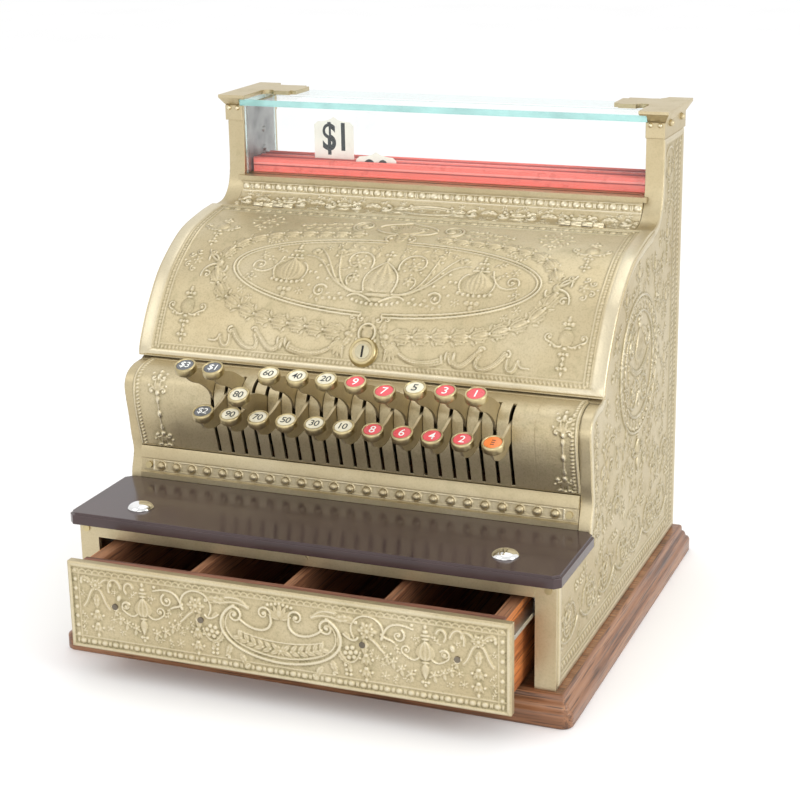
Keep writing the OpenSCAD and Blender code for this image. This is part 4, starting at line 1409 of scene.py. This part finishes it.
def oak(name, tones, along, gloss=0.38, ring=26, brighter_from=None):
    """Stained wood: long grain along an axis, with pores and a worn varnish.

    Beyond brighter_from metres to either side, the wood is redder, as its varnish, and brighter, as painted
    light on a side in shade.
    """
    m = Paint(name)
    wave_scale = [ring, ring, ring]
    wave_scale["xyz".index(along)] = ring * 0.045
    pore_scale = [900, 900, 900]
    pore_scale["xyz".index(along)] = 22
    warp = m.noise(1.0, 4, 0.6, stretch=wave_scale, distortion=1.4)
    grain = m.noise(1.0, 5, 0.65, stretch=[c * 7 for c in wave_scale], distortion=0.8)
    pores = m.noise(1.0, 2, 0.5, stretch=pore_scale)
    blend = m.math("ADD", m.math("MULTIPLY", warp, 0.55), m.math("MULTIPLY", grain, 0.45))
    colour = m.ramp(blend, [(0.36, tones[0]), (0.47, tones[1]), (0.60, tones[2])])
    dark = m.level(pores, 0.48, 0.34)
    colour = m.mix(m.math("MULTIPLY", dark, 0.8), colour, tuple(c * 0.4 for c in tones[0]))
    # Outer sides: redder varnish and painted light, to lift a side that lies in shade.
    if brighter_from:
        sideways = m.math("ABSOLUTE", m.axis(m.where, "X"))
        outside = m.level(sideways, brighter_from, brighter_from + 0.0006)
        colour = m.mix(outside, colour, VARNISH_AND_LIGHT, "MULTIPLY")
    m.colour(colour)
    m.roughness(m.level(grain, 0.3, 0.7, gloss - 0.08, gloss + 0.14))
    m.set(Coat_Weight=0.25, Coat_Roughness=0.25)
    m.bump(m.math("ADD", m.math("MULTIPLY", pores, 0.7), grain), 0.35, 0.0004)
    return m.material


def enamel(name, colour, rough=0.35, mottle=0.12, coat=0.0):
    """Paint or celluloid: an even colour with slight fading and grime."""
    m = Paint(name)
    cloud = m.noise(90, 4, 0.6)
    speck = m.noise(1500, 2, 0.5)
    low = tuple(max(c * (1 - mottle * 2), 0) for c in colour)
    high = tuple(min(c * (1 + mottle), 1) for c in colour)
    shade = m.ramp(cloud, [(0.25, low), (0.5, colour), (0.75, high)])
    grime_and_shade = m.math("MULTIPLY", m.level(speck, 0.62, 0.8), 0.3)
    m.colour(m.mix(grime_and_shade, shade, tuple(c * 0.55 for c in colour)))
    m.roughness(m.level(cloud, 0.3, 0.7, rough - 0.06, rough + 0.1))
    m.set(Coat_Weight=coat, Coat_Roughness=0.12)
    m.bump(cloud, 0.05, 0.0003)
    return m.material


def sheet_glass(name, thin, tint, edge, shine, pale_from=None):
    """Clear across its faces and deeply coloured at its cut edges.

    The sheet is thin along one axis. Edges further back than pale_from metres are pale.
    """
    m = Paint(name)
    m.tree.nodes.remove(m.shader)
    clear = m.add("ShaderNodeBsdfTransparent")
    clear.inputs["Color"].default_value = (*tint, 1.0)
    gloss = m.add("ShaderNodeBsdfGlossy")
    gloss.inputs["Roughness"].default_value = 0.03
    gloss.inputs["Color"].default_value = (0.95, 1.0, 0.99, 1.0)
    slant = m.add("ShaderNodeLayerWeight")
    slant.inputs["Blend"].default_value = 0.5
    grazing = m.math("MULTIPLY", m.math("POWER", slant.outputs["Facing"], 4.0), shine)
    face = m.blend(m.math("ADD", grazing, 0.025), clear, gloss)
    rim = m.add("ShaderNodeBsdfPrincipled")
    rim.inputs["Roughness"].default_value = 0.12
    rim.inputs["Transmission Weight"].default_value = 0.35
    shade = m.ramp(m.noise(40, 2, 0.5), [(0.3, tuple(c * 0.75 for c in edge)), (0.7, edge)])
    m.link(shade, rim.inputs["Base Color"])
    normal = m.add("ShaderNodeNewGeometry").outputs["True Normal"]
    flat = m.level(m.math("ABSOLUTE", m.axis(normal, thin)), 0.35, 0.75)
    if pale_from:
        back = m.level(m.axis(m.where, "Y"), pale_from, pale_from + 0.03, 0, 0.85)
        flat = m.math("MAXIMUM", flat, back)
    m.link(m.blend(flat, rim, face).outputs[0], m.out.inputs["Surface"])
    return m.material


def dark_slab():
    """The polished dark shelf, with a film of dust and fine scratches."""
    m = Paint("dark_slab")
    cloud = m.noise(22, 4, 0.6)
    scratch = m.noise(260, 3, 0.7, stretch=(0.25, 2.2, 1))
    base = m.ramp(cloud, [(0.3, (0.042, 0.024, 0.025)), (0.7, (0.060, 0.036, 0.036))])
    upward = m.axis(m.add("ShaderNodeNewGeometry").outputs["Normal"], "Z")
    m.colour(m.mix(m.level(upward, 0.6, 0.95, 0, 0.025), base, DUST))
    m.roughness(m.level(cloud, 0.3, 0.75, 0.13, 0.25))
    m.set(IOR=1.47)
    m.bump(scratch, 0.06, 0.0001)
    return m.material


def pale_floor():
    """A near-white ground that melts into the white backdrop."""
    m = Paint("pale_floor")
    m.colour(m.ramp(m.noise(3, 2, 0.5), [(0.3, (0.93, 0.93, 0.93)), (0.7, (0.95, 0.95, 0.95))]))
    m.set(Roughness=0.9, Specular_IOR_Level=0.1)
    return m.material


# --- Pieces -------------------------------------------------------------


SHAFT = (39, 184)       # Y and Z of the shaft that the levers turn on
KEY_TOPS = ((-150.5, 248.3), (-147.5, 208.8))   # Y and Z of the upper and lower key tops
PRESSED = {4: 5.6, 14: 1.4}     # degrees that keys 80 and 7 are held down in the photo
RAISED = {2: 42, 4: 12.5}       # how far the flags of $1 and 80 stand up in it
FLAG_ROWS = (0, 2, 1, 3)        # which slot of the guide each flag in turn stands in
FLAG_Y, FLAG_PITCH = 134.5, 9.5     # the guide's front slot, and the pitch of its slots
SHOULDER = 363.8        # height of a lowered flag's shoulders
FIGURE_DROP = 15.6      # from a flag's shoulders down to the middle of its figure
FLAG_HALF = 0.45        # from a flag's middle to just outside its face
LOCK_PLACE, LOCK_TILT = (0, -63.7, 247), 61     # the lock on the lid, and its face's tilt
BASE_HALF = (225, 202)  # about half the wooden base, across and from front to back
BEAD_LINE = np.array([(-99.2, 131.4), (-97.9, 142.6)])  # the bead plate's face, in Y and Z
DRAWER_RISE = 0.95      # the most that the drawer's ornament stands out
DRAWER_SIDE = 0.1812    # metres from the middle to just inside the drawer's outer sides
CAST = nickel_brass("cast_metal", True)
PLATE = nickel_brass("plate_metal", False)
STEEL = plain_metal("steel", (0.55, 0.54, 0.51), 0.36, (1, 0.1, 1))
DARK_STEEL = plain_metal("dark_steel", (0.20, 0.17, 0.13), 0.45)
CHROME = plain_metal("chrome", (0.86, 0.86, 0.85), 0.09, vary=0.04)
BELL = plain_metal("bell_brass", (0.78, 0.60, 0.28), 0.2)
CORE = plain_metal("lock_brass", (0.50, 0.45, 0.31), 0.33)
# Near-black strips for the slots of screws and the lock: painted shade inside them.
SLOT_SHADE = enamel("slot_shade", (0.02, 0.017, 0.013), 0.7)
# Dark brown for the gaps in front of the lid's knuckles: painted shade.
HINGE_SHADE = enamel("hinge_shade", (0.12, 0.095, 0.06), 0.6)
RIM = plain_metal("key_rim_brass", (0.55, 0.455, 0.25), 0.34, vary=0.06)
CORAL = enamel("coral_enamel", (0.92, 0.17, 0.13), 0.30, 0.06, coat=0.5)
# Dark red for the ridges' fronts and the groove on the flag guide: painted shade.
CORAL_SHADE = enamel("coral_shade", (0.45, 0.055, 0.045), 0.5, 0.1)
# Light coral for the ridges' crests and the upper lip: painted highlight.
CORAL_HIGHLIGHT = enamel("coral_highlight", (0.93, 0.27, 0.23), 0.3, 0.06, coat=0.5)
KNUCKLE = plain_metal("hinge_brass", (0.74, 0.65, 0.45), 0.26, vary=0.06)
CREAM = enamel("cream_enamel", (0.86, 0.85, 0.76), 0.42, 0.05)
LINING = plain_metal("post_lining", (0.40, 0.40, 0.39), 0.45)
INK = enamel("dark_ink", (0.022, 0.028, 0.03), 0.5)
WHITE_INK = enamel("white_ink", (0.86, 0.86, 0.82), 0.5)
KEY_FACES = {
    "key_dark": enamel("key_dark_face", (0.10, 0.106, 0.115), 0.3, coat=0.4),
    "key_cream": enamel("key_cream_face", (0.76, 0.71, 0.54), 0.3, coat=0.4),
    "key_red": enamel("key_red_face", (0.72, 0.065, 0.08), 0.3, coat=0.4),
    "key_orange": enamel("key_orange_face", (0.85, 0.20, 0.02), 0.3, coat=0.4),
}
RED_OAK = ((0.085, 0.032, 0.012), (0.235, 0.10, 0.042), (0.38, 0.185, 0.088))
RED_BROWN = ((0.09, 0.033, 0.018), (0.185, 0.07, 0.04), (0.28, 0.12, 0.07))
BROWN = ((0.12, 0.047, 0.022), (0.25, 0.102, 0.048), (0.36, 0.165, 0.080))


def base_ring(bm, inset, z, steps=10):
    """One level of the base's moulding: a rectangle with rounded corners."""
    low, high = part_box("wooden_base")
    radius = max(9 - inset, 1.5)
    half_x = (high.x - low.x) / 2 / MM - inset - radius
    half_y = (high.y - low.y) / 2 / MM - inset - radius
    ring = []
    for quarter, (sx, sy) in enumerate(((1, 1), (-1, 1), (-1, -1), (1, -1))):
        angles = [90 * quarter + 90 * k / steps for k in range(steps + 1)]
        for x, y, _ in around(sx * half_x, sy * half_y, radius, radius, angles):
            ring.append(bm.verts.new((x * MM, y * MM, z * MM)))
    return ring


def wooden_base():
    """Oak board with an ogee moulding; the grain runs along each side and meets in a mitre."""
    profile = [(1.0, 0), (0, 1.0), (0, 11.8), (0.5, 13.0), (1.6, 13.7), (3.0, 14.2), (3.7, 15.3),
               (4.0, 17.0), (4.8, 18.6), (6.2, 19.4), (7.3, 19.9), (7.4, 22.8), (7.8, 24.6),
               (8.8, 25.5), (10.4, BASE_Z)]
    bm = bmesh.new()
    rings = [base_ring(bm, inset, z) for inset, z in profile]
    for low, high in zip(rings, rings[1:]):
        for k in range(len(low)):
            n = (k + 1) % len(low)
            bm.faces.new((low[k], low[n], high[n], high[k])).smooth = True
    bm.faces.new(list(reversed(rings[0])))
    bm.faces.new(rings[-1])
    for face in bm.faces:
        c = face.calc_center_median()
        at_side = abs(c.x) / BASE_HALF[0] > abs(c.y) / BASE_HALF[1]
        face.material_index = 1 if at_side and len(face.verts) == 4 else 0
    mesh = built(bm, "oak_base", oak("oak_front", RED_OAK, "x"), oak("oak_side", RED_OAK, "y"))
    piece = add_object("oak_base", mesh, "cabinet")
    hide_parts("wooden_base")


def case_parts():
    """The CAD's castings, shelf, drawer and flag guide, with their edges rounded."""
    widths = {"side_frame_left": 0.8, "side_frame_right": 0.8, "back_cover": 0.8,
              "front_frame": 0.5, "bead_plate": 0.4, "neck_plate": 0.4, "corner_caps": 0.6,
              "drawer_front": 0.8}
    for node, width in widths.items():
        softened(node, PLATE, width)
    softened("key_panel", CAST, 0.35)
    softened("lid", PLATE, 1.0, 3)
    softened("lock_core", CORE, 0.3)
    softened("flag_housing", CORAL, 0.5)
    softened("shelf", dark_slab(), 0.9, 3)
    softened("drawer_box", oak("drawer_wood", BROWN, "y", 0.5, 34, DRAWER_SIDE), 0.7)
    softened("drawer_runners", STEEL, 0.4)
    softened("shelf_studs", CHROME, 0.2, limit=60)


def on_drawer(x, z, h):
    """A place on the drawer's front, with high ornament held back inside the CAD's box."""
    return np.stack([x, DRAWER_Y - DRAWER_RISE * np.tanh(h / DRAWER_RISE), z], -1)


def ornament():
    """Lays each relief on its surface."""
    neck, panel, plate = Track(NECK_FACE), Track(PANEL_PATH), Track(BEAD_LINE)
    side = side_relief()
    relief_piece("lid_relief", lid_relief(), Track(LID_PATH).place, "lid")
    relief_piece("drawer_relief", drawer_relief(), on_drawer, "drawer")
    relief_piece("side_relief_right", side, lambda y, z, h: np.stack([SIDE_X + h, y, z], -1))
    relief_piece("side_relief_left", side, lambda y, z, h: np.stack([-SIDE_X - h, y, z], -1), flip=True)
    relief_piece("neck_relief", neck_relief(neck.length), neck.place)
    relief_piece("key_panel_relief", key_panel_relief(panel.length), panel.place)
    relief_piece("bead_relief", bead_plate_relief(plate.length), plate.place)
    relief_piece("back_relief", back_relief(), lambda x, z, h: np.stack([x, BACK_Y + h, z], -1), flip=True)


def key_place(i):
    """The centre of key i's top as it stands, with +Z out of its face."""
    x = KEY_X + KEY_PITCH * i
    shaft = spot(x, *SHAFT)
    pressed = turned(PRESSED.get(i, 0), "X")
    return shaft @ pressed @ shaft.inverted() @ spot(x, *KEY_TOPS[i % 2]) @ turned(20, "X")


def face_rise(x, y):
    """Height of the ink on a key's domed face, above its rim's base."""
    return 0.5 - 0.003 * (x * x + y * y) + 0.12


def keys():
    """Lever, rimmed top and numbered face of each key; no sale has three bars."""
    rim = [(7.3, 0.1), (7.5, 0.75), (7.9, 1.0), (8.4, 1.0), (8.95, 0.7), (9.25, 0.1), (9.3, -1.0),
           (9.3, -5.0), (9.1, -5.5), (8.4, -6.3)]
    disc = [(0, 0.5), (2.5, 0.48), (4.5, 0.44), (6.5, 0.37), (7.5, 0.33), (7.5, 0)]
    bar_pitch = 2.6
    for i, key in enumerate(KEYS):
        body = "key_" + key
        slot = SLOTS[body]
        softened(body, PLATE, 0.35)
        place = key_place(i)
        lathe(body + "_rim", rim, place, body, RIM)
        lathe(body + "_face", disc, place, body, KEY_FACES[slot])
        ink = INK if slot in ("key_cream", "key_orange") else WHITE_INK
        if key == "no_sale":
            for k in (-1, 0, 1):
                low = bar_pitch * k
                lettering(f"{body}_mark_{k + 2}", "-", 7, place @ spot(0, low, 0), body, ink,
                          1.6, lambda x, y, low=low: face_rise(x, y + low))
            continue
        text = key.replace("dollar_", "$")
        size = 10.2 if len(text) == 2 else 12.0
        lettering(body + "_figure", text, size, place, body, ink, 0.92, face_rise, 0.92, 0.006)


def flags():
    """Figures on both faces of every flag."""
    for i, key in enumerate(KEYS):
        moves = i < MOVING_FLAGS
        beside_key = -16 if i < 3 else 5 if moves else 12
        x = KEY_X + KEY_PITCH * i + beside_key
        y = FLAG_Y + FLAG_PITCH * FLAG_ROWS[i % 4]
        z = SHOULDER + RAISED.get(i, 0) - FIGURE_DROP
        body = "flag_" + key if moves else "cabinet"
        text = "-" if key == "no_sale" else key.replace("dollar_", "$")
        for side, turn in (("front", 0), ("back", 180)):
            face = spot(x, y, z) @ turned(turn, "Z") @ spot(0, -FLAG_HALF, 0)
            place = face @ turned(90, "X")
            lettering(f"flag_{key}_figure_{side}", text, 36, place, body, INK,
                      0.76, bold=0.024)


def screw(name, x, y, z, radius, turn, body, material):
    """A domed head that faces forward, with its slot as a near-black strip of painted shade."""
    place = spot(x, y, z) @ turned(90, "X")
    head = [(radius, 0), (radius, 0.5), (radius * 0.8, 0.95), (radius * 0.4, 1.15), (0, 1.2)]
    lathe(name, head, place, body, material, 24)
    half = radius * 0.85
    # Painted shade for the slot.
    block(name + "_slot", (-half, -0.3, 0.73), (half, 0.3, 1.23), 0.05, SLOT_SHADE, body,
          place @ turned(turn, "Z"))


def ridge(name, y, half_width, shaded, height=1.5, steps=8):
    """One lengthwise ridge on top of the flag guide: painted highlight on its crest, painted shade on its
    front half if asked.
    """
    low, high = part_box("flag_housing")
    inset = 0.6 * MM
    bm = bmesh.new()
    rows = []
    for x in (low.x + inset, high.x - inset):
        rows.append([bm.verts.new((x, (y + half_width * math.cos(a)) * MM,
                                   high.z + (height * math.sin(a) - 0.1) * MM))
                     for a in np.linspace(0, math.pi, steps + 1)])
    for k in range(steps):
        face = bm.faces.new((rows[0][k], rows[0][k + 1], rows[1][k + 1], rows[1][k]))
        face.smooth = True
        # Faces 2 and 3 take painted highlight; the front half takes painted shade when shaded is set.
        face.material_index = 2 if k in (2, 3) else 1 if k > 3 and shaded else 0
    for row in rows:
        bm.faces.new(row)
    bmesh.ops.recalc_face_normals(bm, faces=bm.faces)
    mesh = built(bm, name, CORAL, CORAL_SHADE, CORAL_HIGHLIGHT)
    return add_object(name, mesh, "cabinet")


def guide_trim():
    """Ridges on the flag guide, and two lips along its front with a groove between them; painted highlight
    on the upper lip and painted shade in the groove.
    """
    half, front = 191.5, 130.6
    for k, y in enumerate((131.3, 139.25, 148.75, 158.25, 166.4)):
        ridge(f"guide_ridge_{k + 1}", y, 1.3 if k in (0, 4) else 2.5, k % 2 == 1)
    # The upper lip takes painted highlight, the groove painted shade.
    for name, y, z0, z1, width, paint in (
            ("guide_lip_upper", 129.2, 364.9, 366.9, 0.5, CORAL_HIGHLIGHT),
            ("guide_groove", 129.6, 363.8, 364.9, 0.1, CORAL_SHADE),
            ("guide_lip_lower", 128.6, 357.8, 359.8, 0.6, CORAL)):
        block(name, (-half, y, z0), (half, front, z1), width, paint)


def post_linings():
    """The grey linings inside the window posts, with two rivets each."""
    dome = [(3.0, 0), (2.8, 0.7), (2.0, 1.3), (1.0, 1.6), (0, 1.7)]
    inner, outer = 193.3, 194.2
    for side, name in SIDES:
        x0, x1 = sorted((side * inner, side * outer))
        block("post_lining_" + name, (x0, 122.6, 358.2), (x1, 181.4, 421.5), 0.2, LINING)
        for k, z in enumerate((376, 394)):
            place = spot(side * inner, 158, z) @ turned(-90 * side, "Y")
            lathe(f"lining_rivet_{name}_{k + 1}", dome, place, "cabinet", LINING, 24)


def hinges():
    """Turned knuckles, in turn on the lid and on the case, with painted shade in the gaps ahead of the
    lid's.
    """
    barrel = [(2.6, 0.1), (3.2, 0.15), (3.5, 0.5), (3.5, 9.1), (3.2, 9.45), (2.6, 9.5)]
    middle, pitch = 148, 10
    for side, name in SIDES:
        for k in range(4):
            place = spot(side * middle + (k - 2) * pitch + 0.2, 81, 335.5) @ turned(90, "Y")
            body = "cabinet" if k % 2 else "lid"
            lathe(f"hinge_{name}_{k + 1}", barrel, place, body, KNUCKLE, 28)
        # Dark strips in front of the lid's knuckles: painted shade in the gaps.
        for k in (0, 2):
            x = side * middle + (k - 2) * pitch + 0.4
            block(f"hinge_gap_shade_{name}_{k + 1}", (x, 76.2, 334.4), (x + 9.2, 78, 336.1), 0.2, HINGE_SHADE, "lid")


def capitals():
    """The raised front of each capital, with two bosses under its flare."""
    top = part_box("top_glass")[0].z / MM - 0.4
    front = 113.2
    boss = [(2.2, 0), (2.1, 0.8), (1.6, 1.6), (0.8, 2.05), (0, 2.2)]
    for side, name in SIDES:
        x0, x1 = sorted((side * 193.7, side * 210.9))
        block("capital_front_" + name, (x0, front, CAP_Z), (x1, front + 2, top), 0.5, PLATE)
        for k, x in enumerate((198.2, 206.6)):
            place = spot(side * x, front, 420) @ turned(90, "X")
            lathe(f"capital_boss_{name}_{k + 1}", boss, place, "cabinet", KNUCKLE, 24)


def drawer_rail():
    """The wooden rail along the top of the drawer's front, behind its metal face."""
    low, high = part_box("drawer_box")
    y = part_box("drawer_front")[1].y / MM
    top = high.z / MM
    block("drawer_rail", (low.x / MM + 0.4, y + 0.1, top - 0.3), (high.x / MM - 0.4, y + 8.9, top + 2.6),
          0.5, oak("rail_wood", RED_BROWN, "x", 0.42, 34), "drawer")


def lid_seat():
    """The strip that the closed lid rests on, and the low stop behind its edge."""
    half, foot = 199, 225.2
    block("lid_rest", (-half, -74, foot), (half, -60, 226.9), 0.3, PLATE)
    block("lid_stop", (-half, -66.0, foot), (half, -64.8, 231), 0.3, PLATE)


def lock_face():
    """The moulded ring round the lock's core, and the key slot in it as a near-black strip of painted shade.
    """
    place = spot(*LOCK_PLACE) @ turned(LOCK_TILT, "X")
    ring = [(6.6, -1), (6.6, 2.2), (7.4, 2.5), (7.9, 2.0), (8.3, 2.4), (9.4, 3.9), (10.6, 4.2),
            (11.6, 3.7), (12.2, 2.4), (12.6, 1.0), (13.2, 0.2)]
    lathe("lock_ring", ring, place, "lid", RIM, 64)
    # Painted shade for the key slot.
    block("key_slot", (-0.88, -4.9, 2.9), (0.88, 4.9, 3.15), 0.05, SLOT_SHADE, "lock", place)


def drawer_screws():
    """The four screws through the drawer's front, each turned its own way."""
    for n, x in enumerate((-148, -70, 70, 148)):
        screw(f"drawer_screw_{n + 1}", x, DRAWER_Y + 0.3, 67, 2.6, 35 + 50 * n, "drawer",
              DARK_STEEL)


def unchanged_nodes():
    """Materials of the CAD nodes that keep their shape."""
    top = sheet_glass("plate_glass", "Z", (0.992, 0.999, 0.998), (0.40, 0.76, 0.73), 0.12, 0.15)
    panes = sheet_glass("pane_glass", "Y", (0.996, 0.999, 0.999), (0.5, 0.72, 0.68), 0.2)
    looks = {"top_glass": top, "window_panes": panes, "key_shaft": STEEL, "hinge_pins": STEEL,
             "drawer_slides": STEEL, "cabinet_screws": RIM, "drawer_screws": DARK_STEEL,
             "bell": BELL, "lowered_flags": CREAM}
    looks.update({"flag_" + key: CREAM for key in KEYS[:MOVING_FLAGS]})
    for node, material in looks.items():
        mesh = frame["nodes"][node].data
        mesh.materials.clear()
        mesh.materials.append(material)


# --- Stage --------------------------------------------------------------


SKY_STRENGTH = 1.06
FLOOR_HALF = 6.0        # metres
LENS = 82.94            # millimetres
CAMERA_PLACE = (0.58695, -1.43819, 0.66724)
CAMERA_RIGHT = (0.92920, 0.36921, -0.01683)
CAMERA_UP = (-0.09433, 0.28096, 0.95507)


def soft_light(name, place, target, size, power):
    """A rectangular lamp that shines at a target."""
    data = bpy.data.lights.new(name, "AREA")
    data.shape = "RECTANGLE"
    data.size, data.size_y = size
    data.energy = power
    lamp = bpy.data.objects.new(name, data)
    bpy.context.scene.collection.objects.link(lamp)
    lamp.location = place
    aim = Vector(target) - Vector(place)
    lamp.rotation_euler = aim.to_track_quat("-Z", "Y").to_euler()


def stage():
    """A white studio: bright sky, pale floor and four soft lamps."""
    world = bpy.data.worlds.new("studio")
    world.use_nodes = True
    bpy.context.scene.world = world
    sky = world.node_tree.nodes["Background"]
    sky.inputs["Color"].default_value = (1.0, 1.0, 1.0, 1.0)
    sky.inputs["Strength"].default_value = SKY_STRENGTH
    bm = bmesh.new()
    bmesh.ops.create_grid(bm, x_segments=8, y_segments=8, size=FLOOR_HALF)
    floor = bpy.data.objects.new("floor", built(bm, "floor", pale_floor()))
    bpy.context.scene.collection.objects.link(floor)
    soft_light("key_light", (-1.3, -1.5, 1.9), (0, 0, 0.2), (1.4, 1.4), 6)
    soft_light("side_light", (2.1, -0.4, 0.9), (0, 0, 0.2), (1.0, 1.4), 16)
    soft_light("top_light", (0.1, 0.5, 2.4), (0, 0, 0.3), (1.6, 1.6), 8)
    soft_light("front_light", (0.5, -2.3, 0.5), (0, 0, 0.2), (1.6, 1.0), 9)


def camera():
    """The view of the photo, as solved from its straight edges."""
    data = bpy.data.cameras.new("camera")
    data.lens = LENS
    data.sensor_width = 36
    right, up = Vector(CAMERA_RIGHT), Vector(CAMERA_UP)
    eye = bpy.data.objects.new("camera", data)
    bpy.context.scene.collection.objects.link(eye)
    turn = Matrix((right, up, right.cross(up))).transposed().to_4x4()
    eye.matrix_world = Matrix.Translation(CAMERA_PLACE) @ turn
    bpy.context.scene.camera = eye


camera()
stage()
wooden_base()
case_parts()
ornament()
keys()
flags()
guide_trim()
post_linings()
hinges()
capitals()
drawer_rail()
lid_seat()
lock_face()
drawer_screws()
unchanged_nodes()
bpy.context.scene.view_settings.view_transform = "Standard"
